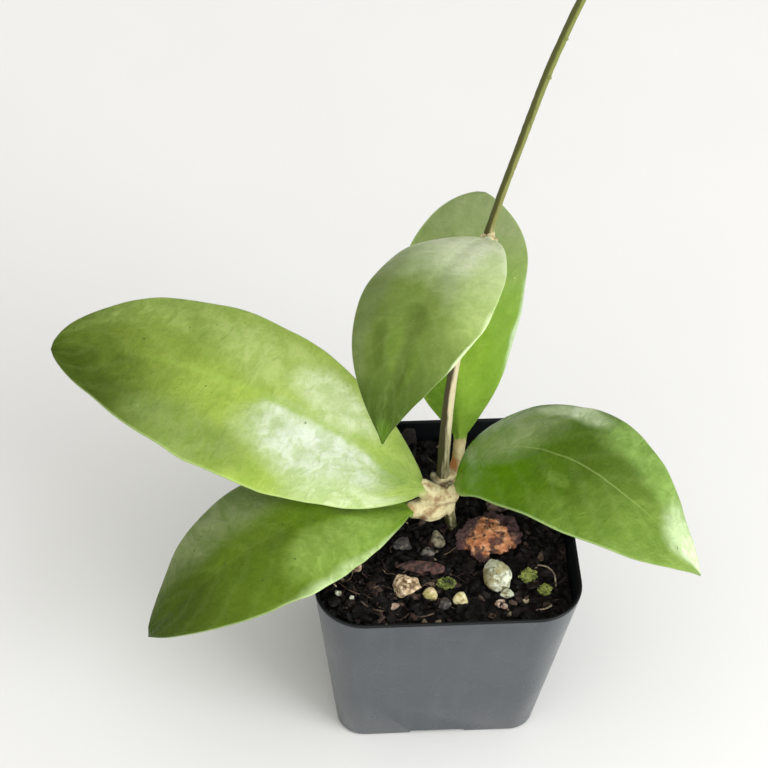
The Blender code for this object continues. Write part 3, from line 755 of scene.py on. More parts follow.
# Moss: three damp tufts that grew on the mix. Each is a low cushion of short pointed leaflets,
# packed so close that only their paler tips show.
MOSS_TUFTS = {
    "moss_left": ((-0.1, -16.3, 49.5), (2.5, 1.5, 1.4), -4),
    "moss_middle": ((19.9, -15.0, 49.7), (2.3, 1.8, 1.6), 20),
    "moss_right": ((23.6, -19.2, 49.4), (1.6, 1.5, 1.2), 0),
}
LEAFLETS = 300
LEAFLET = (0.45, 0.16)  # length and width
LEAFLET_SINK = 0.4  # how far along a leaflet its root lies, as a share
MOSS_LUMPS = (0.86, 0.3, 2.4)
MOSS_SEED = 5


def moss_finish():
    material, spot = new_finish("moss_damp", (0.16, 0.26, 0.05), 0.8)
    patchy = sums(part(marks_on(spot), "X"), span(grain(spot, 420, 3), 0.3, 0.7, -0.36, 0.36))
    stops = [(0.0, (0.01, 0.014, 0.003)), (0.42, (0.085, 0.12, 0.014)), (1.0, (0.4, 0.44, 0.11))]
    return coat(material, shades(patchy, stops))


def on_cushion(way, place, sizes, spin):
    """Where a direction meets a tuft's lumpy top."""
    size, swing, scale = MOSS_LUMPS
    lump = size + swing * noise.noise(way * scale + place)
    return place + spin @ Vector([way[i] * sizes[i] * lump for i in range(3)])


rng = random.Random(MOSS_SEED)
finish = moss_finish()
for name, (centre, sizes, turn) in MOSS_TUFTS.items():
    bm = bmesh.new()
    tone = marks_of(bm)
    spin = Matrix.Rotation(radians(turn), 3, "Z")
    place = Vector(centre)
    body = bmesh.ops.create_icosphere(bm, subdivisions=4, radius=1)["verts"]
    for vert in body:
        vert.co = on_cushion(vert.co, place, sizes, spin)
        vert[tone] = (0.3, 0, 0)
    for _ in range(LEAFLETS):
        way = Vector((rng.gauss(0, 1), rng.gauss(0, 1), abs(rng.gauss(0, 1)))).normalized()
        root = on_cushion(way, place, sizes, spin)
        length, width = LEAFLET
        cone = {"segments": 4, "radius1": width, "radius2": 0.01, "depth": length}
        leaflet = bmesh.ops.create_cone(bm, cap_ends=True, **cone)["verts"]
        lean = way + 0.5 * Vector((rng.uniform(-1, 1), rng.uniform(-1, 1), rng.uniform(-0.3, 0.8)))
        turned = lean.to_track_quat("Z", "Y").to_matrix()
        shade = rng.uniform(-0.2, 0.2)
        for vert in leaflet:
            tip = vert.co.z > 0
            vert.co = root + turned @ (vert.co + Vector((0, 0, length * LEAFLET_SINK)))
            vert[tone] = ((0.85 if tip else 0.4) + shade, 0, 0)
    set_in_place(name + "_tuft", bm, [finish], name, sharp=50)


# Stem: the old rooted cutting rises from the mix, swells into a corky crown where four leaves sit
# close together, and goes on as one bare climbing shoot with a node at each joint. It is one
# living piece; its crown and its upper node are thick, pale and scarred.
STEM_ROUTE = [
    (3.9, 2.0, 38.0, 1.5), (3.9, 2.0, 44.0, 1.5), (2.9, 2.3, 49.5, 1.4),
    (2.2, 3.0, 53.0, 1.5), (1.6, 4.6, 56.0, 2.0), (1.3, 7.2, 57.8, 2.2),
    (0.85, 8.7, 60.8, 1.6), (0.75, 9.6, 70.0, 1.42), (1.0, 10.8, 85.1, 1.32),
    (1.75, 12.0, 96.1, 1.2), (3.4, 13.9, 109.0, 1.08), (5.7, 15.8, 121.5, 1.12),
    (7.3, 17.2, 130.2, 1.15), (7.6, 17.6, 132.9, 1.35), (7.9, 17.8, 136.0, 1.0),
    (10.2, 18.3, 148.2, 0.95), (12.4, 18.8, 158.3, 0.95), (14.8, 19.0, 170.1, 0.97),
    (17.2, 18.9, 182.0, 0.97), (19.8, 18.4, 193.4, 0.97), (22.3, 17.8, 203.6, 0.95),
    (25.1, 17.1, 214.5, 0.93), (28.1, 16.6, 223.5, 0.93), (29.5, 16.5, 226.2, 1.2),
    (30.5, 16.4, 228.6, 0.85), (31.6, 16.3, 231.2, 0.6), (32.5, 16.2, 233.4, 0.25),
]
STEM_SWELLS = ((0.07, 0.9), (0.03, 3.1))  # height and scale of its unevenness
STEM_SIDES = 24
STEM_STEPS = 8
SUNNY_SIDE = -35  # the side painted lit, with its pale streak, in degrees round from +X
# The crown's swellings, each a run of round lumps: the old trunk and the climbing shoot's foot;
# the ridge that carries the large leaf; the low leaf's arm; the back leaf's arm; and two buds.
CROWN_RUNS = [
    [(2.8, 2.3, 50.8, 1.35), (2.2, 2.9, 53.0, 1.5), (1.6, 4.3, 55.6, 2.2), (1.2, 6.8, 57.3, 2.3)],
    [(1.2, 6.8, 57.3, 2.3), (0.95, 8.0, 59.4, 1.65)],
    [(-3.9, 5.6, 60.4, 1.45), (-3.3, 4.8, 59.5, 2.15), (-1.9, 4.3, 58.5, 2.4)]
    + [(0.2, 4.1, 57.5, 2.4)],
    [(0.2, 4.3, 57.6, 2.3), (1.9, 4.3, 57.3, 2.1), (2.9, 4.0, 58.0, 1.65), (2.9, 3.8, 60.0, 1.35)],
    [(-6.8, 2.6, 55.4, 1.3), (-4.9, 2.2, 54.5, 1.85), (-3.0, 2.0, 54.2, 2.0)]
    + [(-1.2, 1.9, 54.3, 1.98), (0.4, 3.0, 55.4, 1.8)],
    [(-7.0, 3.0, 55.9, 1.15), (-5.0, 3.2, 56.0, 1.5), (-2.9, 3.5, 56.6, 1.7)]
    + [(-1.0, 3.5, 56.6, 2.0), (0.8, 3.8, 56.6, 2.1)],
    [(1.7, 7.4, 57.6, 1.8), (3.2, 10.2, 57.2, 1.5), (4.1, 12.1, 57.9, 1.5)],
    [(0.2, 7.2, 58.4, 1.3), (-1.0, 7.6, 59.8, 1.1), (-1.5, 8.0, 60.9, 0.9)],
    [(1.6, 8.0, 59.4, 1.3), (2.6, 8.3, 60.0, 1.15), (3.3, 8.5, 60.3, 0.85)],
]
# Stains and painted shade on the cork, each with its middle, its reach, its colour and its
# strength.
CORK_STAINS_AND_SHADE = [
    ((0.0, 2.4, 57.2), (4.4, 1.8, 0.8), (0.3, 0.2, 0.1), 0.7),  # painted shade, crease of ridge and arm
    ((-1.9, 8.3, 60.0), (2.7, 3.0, 3.4), (0.055, 0.05, 0.022), 0.9),  # dark foot of the shoot
    ((1.0, 6.4, 59.2), (2.6, 1.6, 1.4), (0.085, 0.052, 0.022), 0.95),  # darker hollow before it
    ((2.7, 6.8, 58.9), (1.1, 1.4, 1.2), (0.06, 0.028, 0.026), 0.95),  # bud scar
    ((-4.2, 0.7, 54.4), (1.5, 1.3, 1.2), (0.13, 0.058, 0.02), 0.95),  # ring scar on the arm
    ((-7.2, 2.0, 56.2), (1.3, 2.0, 1.0), (0.45, 0.27, 0.1), 0.8),  # rusty tip of the arm
    ((-5.0, 3.4, 57.0), (1.4, 1.2, 0.7), (0.06, 0.04, 0.02), 0.9),  # painted shadow, notch above arm
    ((2.4, 2.2, 51.2), (2.6, 2.8, 3.1), (0.075, 0.08, 0.024), 0.95),  # old wood below the crown
    ((3.9, 15.6, 61.0), (1.5, 5.5, 5.5), (0.24, 0.19, 0.065), 0.95),  # back stalk, olive left side
    ((3.9, 12.9, 58.8), (1.5, 3.0, 2.2), (0.33, 0.12, 0.03), 0.9),  # its orange-brown foot
    ((4.5, 11.3, 57.9), (0.8, 0.8, 0.7), (0.12, 0.04, 0.015), 0.9),  # its dark spot
    ((7.8, 16.6, 133.0), (3.4, 3.4, 2.6), (0.26, 0.22, 0.11), 0.85),  # dull ring of the upper node
]
UPPER_NODE_RUNS = [
    [(7.2, 17.1, 130.8, 1.15), (7.6, 17.5, 132.7, 1.5), (7.8, 17.7, 134.4, 1.15)],
    [(7.4, 17.2, 132.8, 1.2), (6.5, 17.0, 133.4, 0.85), (6.1, 16.9, 133.7, 0.7)],
    [(7.8, 16.9, 132.8, 1.2), (8.7, 16.5, 133.0, 0.9), (9.0, 16.4, 133.0, 0.75)],
    [(7.6, 16.8, 133.0, 1.2), (7.3, 15.2, 134.2, 1.1), (6.9, 13.8, 135.2, 1.0)],
]
TIP_NODE_RUNS = [
    [(29.2, 16.5, 225.4, 1.05), (29.7, 16.5, 226.4, 1.25), (30.1, 16.4, 227.6, 1.0)],
    [(29.6, 16.3, 226.5, 0.8), (28.5, 15.7, 227.6, 0.5), (28.2, 15.5, 228.4, 0.3)],
    [(29.8, 16.6, 226.5, 0.8), (30.9, 17.2, 227.4, 0.5), (31.2, 17.4, 228.1, 0.3)],
]
NUB_RADIUS = 0.45
NUBS = [(21.6, 17.4, 199.7), (20.2, 17.6, 193.2), (17.6, 18.0, 181.6)]


def stem_finish():
    """Old wood low, olive to the tip; painted light and shade round it over a real pale streak."""
    material, spot = new_finish("stem_bark", (0.2, 0.18, 0.08), 0.55, Specular_IOR_Level=0.25)
    streak = grain(spot, 1, 4, 0.6, stretch=(900, 900, 60))
    grade = sums(span(part(spot, "Z"), 0.045, 0.235), span(streak, 0.3, 0.7, -0.05, 0.05))
    stops = [(0, (0.035, 0.036, 0.01)), (0.1, (0.042, 0.034, 0.014)), (0.3, (0.055, 0.043, 0.018))]
    stops += [(0.5, (0.056, 0.055, 0.011)), (0.95, (0.062, 0.068, 0.012))]
    shaded = shades(grade, stops)
    stops = [(0.0, (0.14, 0.13, 0.05)), (0.06, (0.54, 0.49, 0.32)), (0.36, (0.42, 0.36, 0.21))]
    stops += [(0.52, (0.17, 0.175, 0.05)), (0.95, (0.15, 0.17, 0.038))]
    lit = shades(grade, stops)
    ragged = sums(part(marks_on(spot), "Y"), span(streak, 0.3, 0.7, -0.14, 0.14))
    colour = tint(span(ragged, 0.28, 0.7), shaded, lit)
    scars = span(grain(spot, 1, 5, 0.7, stretch=(700, 700, 240)), 0.58, 0.74, 0.0, 0.6)
    colour = tint(scars, colour, (0.05, 0.04, 0.018))
    relief = (grain(spot, 1, 4, 0.6, (2200, 2200, 260)), 0.5, 0.15)
    return coat(material, colour, span(streak, 0.3, 0.7, 0.42, 0.7), relief)


def cork_colour(spot, wrinkle):
    """Cream cork with tan hollows, dark pits, its stains and its painted shade."""
    grade = sums(wrinkle, span(grain(spot, 330, 4, 0.6), 0.3, 0.7, -0.25, 0.25))
    stops = [(0.0, (0.34, 0.23, 0.11)), (0.3, (0.52, 0.43, 0.225)), (0.65, (0.66, 0.6, 0.345))]
    colour = shades(grade, stops)
    pits = span(cells(spot, 420), 0.06, 0.13, 0.85, 0.0)
    pits = times(pits, span(grain(spot, 160, 2), 0.5, 0.56))
    colour = tint(pits, colour, (0.13, 0.075, 0.035))
    ragged = wander(spot, 420, 0.0018)
    for middle, reach, shade, amount in CORK_STAINS_AND_SHADE:
        spread = patch(ragged, in_metres(middle), in_metres(reach), (0.35, 1.15), amount)
        colour = tint(spread, colour, shade)
    return tint(span(part(spot, "Z"), 0.05, 0.052, 1.0, 0.0), colour, (0.04, 0.045, 0.015))


def cork_finish():
    material, spot = new_finish("crown_cork", (0.8, 0.7, 0.5), 0.75)
    colour = cork_colour(spot, part(marks_on(spot), "X"))
    return coat(material, colour, relief=(grain(spot, 1600, 5, 0.7), 0.6, 0.25))


def stem_swell(point):
    return sum(height * noise.noise(point * scale) for height, scale in STEM_SWELLS)


bark = stem_finish()
cork = cork_finish()
bm = bmesh.new()
rings = rod_rings(smooth_route(STEM_ROUTE, STEM_STEPS), STEM_SIDES, stem_swell)
turns = [tau * k / STEM_SIDES for k in range(STEM_SIDES)]
# How far each side of the stem faces the light, from which its finish paints light and shade.
sunny = [cos(turn - radians(SUNNY_SIDE)) for turn in turns]
loft(bm, rings, [[(row / len(rings), facing, 0) for facing in sunny] for row in range(len(rings))])
sunlit = marks_of(bm)
for x, y, z in NUBS:
    nub = bmesh.ops.create_icosphere(bm, subdivisions=3, radius=NUB_RADIUS)["verts"]
    for vert in nub:
        vert.co = Vector((x, y, z)) + vert.co * (1 + 0.3 * noise.noise(vert.co * 3))
        # painted light: the nubs take the stem's lit colours
        vert[sunlit] = (0, 1, 0)
for runs, finish in ((UPPER_NODE_RUNS, 1), (TIP_NODE_RUNS, 0)):
    node_skin = knead(runs, 0.16)
    roughen(node_skin, 0.1, 1.6)
    for face in node_skin.faces:
        face.material_index = finish
    gather(bm, node_skin)
set_in_place("climbing_stem", bm, [bark, cork], "main_stem")

crown = knead(CROWN_RUNS, 0.24, 16)
roughen(crown, 0.2, 0.55)
set_in_place("corky_crown", crown, [cork], sharp=80)


# Leaves: five thick, waxy blades, each grown in one piece with its short corky stalk. The upper
# skin is smooth and faintly dimpled, with a thin pale margin painted as rim light, and patches of
# waxy bloom and painted light; the underside is paler and duller.
LEAF_THICKNESS = 1.5
LEAF_STATIONS = 120
LEAF_HALF_SIDES = 38
STALK_STEPS = 8
STALK_LUMPS = (0.16, 0.9)  # height and scale
NECK_SHARE = 0.12  # of the blade, over which the stalk runs out into the midrib
LEAN_SHARE = 0.2  # of the blade, over which a leaf leans from its stalk
MIDRIB_GROOVE = (0.16, 0.9)  # depth and half width
MARGIN_NICKS = (0.022, 13)  # how uneven the left margin is, as a share, and its scale
SWELLS = ((1.0, 0.085), (0.45, 0.21), (0.16, 0.5))  # share and scale of the skin's dimples
TIP_RADIUS = 0.2
LEAF_GLOW = dict(
    Specular_IOR_Level=0.22, Specular_Tint=(0.85, 1.0, 0.45, 1),
    Subsurface_Weight=0.08, Subsurface_Radius=(0.5, 1.0, 0.2), Subsurface_Scale=0.0012,
)
LEAVES = {}
# heading and rise are given at the base, middle and tip, roll at the base and tip, and droop for
# the left and right half. The shade colours at the base, middle and tip carry painted shade and
# painted highlights as well as the leaf's own greens. A patch has its place, reach, strength and
# colour; the patches are waxy bloom and painted light: painted reflections, sheen and shade.
LEAVES["leaf_large_left"] = dict(
    base=(-4.2, 4.0, 59.8), length=98.0, width=45.5, fold=2, droop=(2, 5),
    heading=(159, 153, 175), rise=(16, 11, -8), roll=(8, 9), fullness=(0.71, 0.67),
    ripple=(0.35, 5.0), dimples=0.34, relief=0.72,
    stalk=[(-2.0, 4.1, 57.5)], stalk_radius=(1.9, 1.7),
    cork_to=0.01, specks=0.54, veins=0.04, rib=(0.45, (0.27, 0.4, 0.07), 0.06, 0.2),
    # dark tip: its own green and painted shade; whitish patches by the base: painted window glare
    shade=((0.33, 0.45, 0.105), (0.29, 0.395, 0.068), (0.04, 0.068, 0.002)),
    bloom_and_painted_light=[
        ((0.7, 0.8), (0.28, 0.38), 0.55, (0.29, 0.385, 0.11)),
        ((0.84, -0.8), (0.2, 0.5), 0.6, (0.05, 0.08, 0.008)),
        ((0.6, -0.75), (0.22, 0.45), 0.75, (0.17, 0.24, 0.066)),
        ((0.42, 0.55), (0.26, 0.4), 0.5, (0.41, 0.5, 0.2)),
        ((0.28, 0.52), (0.14, 0.34), 0.7, (0.62, 0.7, 0.48)),
        ((0.28, -0.26), (0.21, 0.52), 0.85, (0.57, 0.63, 0.53)),
        ((0.26, -0.02), (0.2, 0.12), 0.7, (0.6, 0.66, 0.55)),
        ((0.17, -0.8), (0.16, 0.28), 0.7, (0.58, 0.67, 0.44)),
        ((0.08, 0.05), (0.055, 0.45), 0.7, (0.22, 0.33, 0.08)),
    ],
)
LEAVES["leaf_low_left"] = dict(
    base=(-7.2, 2.0, 54.6), length=76.0, width=38.5, fold=6, droop=(24, 24),
    heading=(176, 208, 191), rise=(20, -10, -56), roll=(-5, 0), fullness=(0.72, 0.93),
    ripple=(0.25, 4.0), dimples=0.22, relief=0.7,
    stalk=[(-1.1, 1.6, 54.2), (-3.3, 2.1, 53.9)], stalk_radius=(1.6, 1.5),
    cork_to=-0.03, specks=0.46, veins=0.03, rib=(0.03, (0.4, 0.5, 0.18), 0.024, 0.0),
    # painted shade at the tip, painted sheen on the grey patch, painted light on the right margin
    shade=((0.17, 0.3, 0.025), (0.085, 0.145, 0.008), (0.028, 0.052, 0.001)),
    bloom_and_painted_light=[
        ((0.58, 0.85), (0.36, 0.62), 0.65, (0.22, 0.255, 0.135)),
        ((0.86, 0.0), (0.16, 1.0), 0.5, (0.028, 0.05, 0.001)),
        ((0.28, -0.55), (0.28, 0.45), 0.65, (0.28, 0.41, 0.095)),
        ((0.3, -1.03), (0.32, 0.2), 0.8, (0.46, 0.58, 0.3)),
        ((0.48, 0.1), (0.1, 0.3), 0.35, (0.06, 0.1, 0.01)),
    ],
)
LEAVES["leaf_front_high"] = dict(
    base=(6.8, 13.8, 135.4), length=61.5, width=30.5, fold=8, droop=(39, 32),
    heading=(230, 238, 262), rise=(38, -22, -47), roll=(-18, 9), fullness=(0.83, 1.15),
    ripple=(0.2, 4.0), dimples=0.16, relief=0.5,
    stalk=[(7.5, 15.4, 133.9)], stalk_radius=(1.2, 1.1),
    cork_to=-0.05, specks=0.57, veins=0.03, rib=(0.02, (0.4, 0.5, 0.18), 0.024, 0.0),
    # pale base: bloom and painted sheen; dark valleys: painted shade; pale right rim: painted light
    shade=((0.55, 0.62, 0.41), (0.135, 0.195, 0.042), (0.023, 0.05, 0.001)),
    bloom_and_painted_light=[
        ((0.16, -0.3), (0.2, 0.9), 0.6, (0.56, 0.62, 0.43)),
        ((0.5, 0.9), (0.34, 0.35), 0.6, (0.14, 0.175, 0.075)),
        ((0.35, -0.8), (0.26, 0.42), 0.65, (0.3, 0.39, 0.13)),
        ((0.56, -0.05), (0.09, 0.24), 0.6, (0.06, 0.095, 0.012)),
        ((0.77, -0.18), (0.09, 0.11), 0.6, (0.035, 0.06, 0.002)),
        ((0.68, 0.42), (0.1, 0.14), 0.55, (0.045, 0.075, 0.006)),
        ((0.66, 0.14), (0.12, 0.14), 0.45, (0.11, 0.18, 0.02)),
        ((0.7, -0.25), (0.14, 0.12), 0.35, (0.1, 0.17, 0.02)),
        ((0.56, -1.03), (0.2, 0.065), 0.8, (0.56, 0.64, 0.43)),
        ((0.97, 0.0), (0.07, 1.0), 0.55, (0.085, 0.18, 0.008)),
    ],
)
LEAVES["leaf_back_upright"] = dict(
    base=(5.7, 17.5, 62.5), length=71.5, width=34.0, fold=2, droop=(28, 20),
    heading=(100, 94, 49), rise=(87, 77, 61), roll=(8, -39), fullness=(1.04, 0.66),
    ripple=(0.2, 4.0), dimples=0.14, relief=0.4,
    stalk=[(3.2, 10.35, 57.3), (5.0, 14.2, 58.9)], stalk_radius=(1.4, 1.5),
    cork_to=0.018, specks=0.62, veins=0.03, rib=(0.06, (0.4, 0.5, 0.18), 0.024, 0.0),
    # greyish tip: bloom and painted sheen; pale right rim: painted highlight
    shade=((0.22, 0.37, 0.045), (0.145, 0.245, 0.022), (0.15, 0.19, 0.08)),
    bloom_and_painted_light=[
        ((0.92, 0.0), (0.2, 1.2), 0.6, (0.165, 0.2, 0.095)),
        ((0.4, 0.65), (0.3, 0.35), 0.6, (0.115, 0.225, 0.018)),
        ((0.45, 1.0), (0.22, 0.14), 0.75, (0.42, 0.52, 0.36)),
        ((0.22, -0.55), (0.3, 0.5), 0.8, (0.055, 0.12, 0.008)),
    ],
)
LEAVES["leaf_right_arched"] = dict(
    base=(2.8, 3.8, 61.5), length=82.0, width=40.5, fold=4, droop=(18, 14),
    heading=(5, -34, -8), rise=(78, -7, -59), roll=(14, -12), fullness=(0.82, 1.18),
    ripple=(0.3, 4.5), dimples=0.3, relief=0.7,
    stalk=[(2.7, 3.7, 59.7)], stalk_radius=(1.3, 1.3),
    lean=(1.2, 0.0, 0.0),
    cork_to=-0.05, specks=0.58, veins=0.04, rib=(0.3, (0.33, 0.42, 0.14), 0.022, 0.0),
    # whitish tip and right edge: painted window glare; grey patches by base and top edge: painted
    # sheen
    shade=((0.105, 0.245, 0.001), (0.05, 0.094, 0.004), (0.16, 0.25, 0.045)),
    bloom_and_painted_light=[
        ((0.1, 0.6), (0.14, 0.6), 0.8, (0.105, 0.245, 0.001)),
        ((0.23, -0.38), (0.17, 0.62), 0.85, (0.27, 0.33, 0.155)),
        ((0.25, 0.14), (0.12, 0.26), 0.6, (0.2, 0.27, 0.11)),
        ((0.39, -0.78), (0.12, 0.21), 0.85, (0.54, 0.62, 0.41)),
        ((0.62, 0.85), (0.24, 0.32), 0.6, (0.1, 0.175, 0.02)),
        ((0.55, -0.3), (0.2, 0.45), 0.6, (0.046, 0.086, 0.004)),
        ((0.76, 0.3), (0.12, 0.5), 0.5, (0.115, 0.195, 0.022)),
        ((0.64, -0.48), (0.05, 0.16), 0.6, (0.028, 0.058, 0.002)),
        ((0.66, -0.78), (0.24, 0.45), 0.7, (0.225, 0.36, 0.088)),
        ((0.9, -0.4), (0.13, 0.85), 0.9, (0.58, 0.7, 0.46)),
        ((0.46, 0.42), (0.035, 0.14), 0.5, (0.13, 0.21, 0.035)),
    ],
)


def through_three(values, t):
    """The quadratic that takes three values at the base, middle and tip."""
    start, middle, end = values
    return start * (2 * t - 1) * (t - 1) + middle * 4 * t * (1 - t) + end * t * (2 * t - 1)


def half_width(leaf, t):
    base, tip = leaf["fullness"]
    widest = base / (base + tip)
    shape = (t / widest) ** base * ((1 - t) / (1 - widest)) ** tip
    return leaf["width"] / 2 * shape


def blade_stations(leaf):
    """Midrib points with their directions along, across and out of the blade."""
    count = LEAF_STATIONS
    ts = [0.5 - 0.5 * cos(pi * i / count) for i in range(count + 1)]
    directions = []
    for t in ts:
        heading = radians(through_three(leaf["heading"], t))
        rise = radians(through_three(leaf["rise"], t))
        roll = radians(leaf["roll"][0] + (leaf["roll"][1] - leaf["roll"][0]) * t)
        level = Vector((cos(heading), sin(heading), 0))
        along = level * cos(rise) + Vector((0, 0, sin(rise)))
        right = Vector((sin(heading), -cos(heading), 0))
        above = right.cross(along)
        across = right * cos(roll) + above * sin(roll)
        normal = above * cos(roll) - right * sin(roll)
        directions.append((along, across, normal))
    stations = []
    lean = Vector(leaf.get("lean", (0, 0, 0)))
    place = Vector(leaf["base"])
    for index, t in enumerate(ts):
        if index:
            mean = (directions[index][0] + directions[index - 1][0]) / 2
            place = place + mean * leaf["length"] * (t - ts[index - 1])
        stations.append((t, place + lean * max(0.0, 1 - t / LEAN_SHARE) ** 2, *directions[index]))
    return stations


def blade_ring(leaf, t, place, across, normal, core):
    """A thin lens across the blade, folded at the midrib, curled at the margins and dimpled."""
    width = half_width(leaf, t)
    nick, scale = MARGIN_NICKS
    edge = 1 + nick * noise.noise(Vector((t * scale, leaf["length"], 0)))
    fold = radians(leaf["fold"])
    height, waves = leaf["ripple"]
    ring, marks = [], []
    for k in range(2 * LEAF_HALF_SIDES):
        angle = pi * k / LEAF_HALF_SIDES
        side = cos(angle)
        reach = abs(side) * width * (edge if side < 0 else 1)
        curl = radians(leaf["droop"][1 if side > 0 else 0]) / (leaf["width"] / 2)
        out = sin(curl * reach) / curl
        down = (1 - cos(curl * reach)) / curl
        sideways = out * cos(fold) + down * sin(fold)
        lift = out * sin(fold) - down * cos(fold)
        lift += height * abs(side) ** 3 * sin(tau * waves * t + (2 if side > 0 else 0))
        spot = place + across * copysign(sideways, side)
        swell = sum(share * noise.noise(spot * size) for share, size in SWELLS)
        depth, breadth = MIDRIB_GROOVE
        groove = depth * exp(-((reach / breadth) ** 2))
        lift += leaf["dimples"] * swell * min(1.0, 6 * t) - groove
        thick = max(LEAF_THICKNESS / 2 * abs(sin(angle)) ** 0.5, core * sin(angle) ** 2)
        thick = copysign(thick, sin(angle)) if k % LEAF_HALF_SIDES else 0.0
        lean = curl * reach - fold
        facing = normal * cos(lean) + across * copysign(sin(lean), side)
        ring.append(spot + normal * lift + facing * thick)
        marks.append((t, side, 1.0 if sin(angle) < -1e-6 else 0.0))
    return ring, marks


def leaf_skin(leaf):
    """Rings from the stalk's foot, along it, and over the blade to the tip, with their marks."""
    stations = blade_stations(leaf)
    base, across = stations[1][1], stations[1][3]
    seat_radius, neck_radius = leaf["stalk_radius"]
    sides = 2 * LEAF_HALF_SIDES
    stalk = [*leaf["stalk"], tuple(stations[0][1])]
    if len(stalk) == 2:
        stalk.insert(1, tuple((Vector(stalk[0]) + Vector(stalk[1])) / 2))
    route = smooth_route([*stalk, tuple(base)], STALK_STEPS)
    keep = route[: STALK_STEPS * (len(stalk) - 1) + 1]
    rings, marks = [], []
    for index, point in enumerate(keep):
        share = index / (len(keep) - 1)
        ahead = Vector(route[index + 1]) - Vector(route[max(index - 1, 0)])
        way = ahead.normalized()
        side = (across - way * across.dot(way)).normalized()
        radius = seat_radius + (neck_radius - seat_radius) * share
        ring = round_ring(Vector(point), side, side.cross(way), radius, sides)
        middle = Vector(point)
        size, scale = STALK_LUMPS
        rings.append([p + (p - middle).normalized() * size * noise.noise(p * scale) for p in ring])
        marks.append([(share - 1, cos(tau * k / sides), 0) for k in range(sides)])
    for t, place, _, across, normal in stations[1:-1]:
        core = neck_radius * max(0.0, 1 - t / NECK_SHARE)
        ring, mark = blade_ring(leaf, t, place, across, normal, core)
        if half_width(leaf, t) > neck_radius:
            rings.append(ring)
            marks.append(mark)
    _, tip, _, across, normal = stations[-1]
    rings.append(round_ring(tip, across, normal, TIP_RADIUS, sides))
    marks.append([(1, cos(tau * k / sides), 0) for k in range(sides)])
    return rings, marks


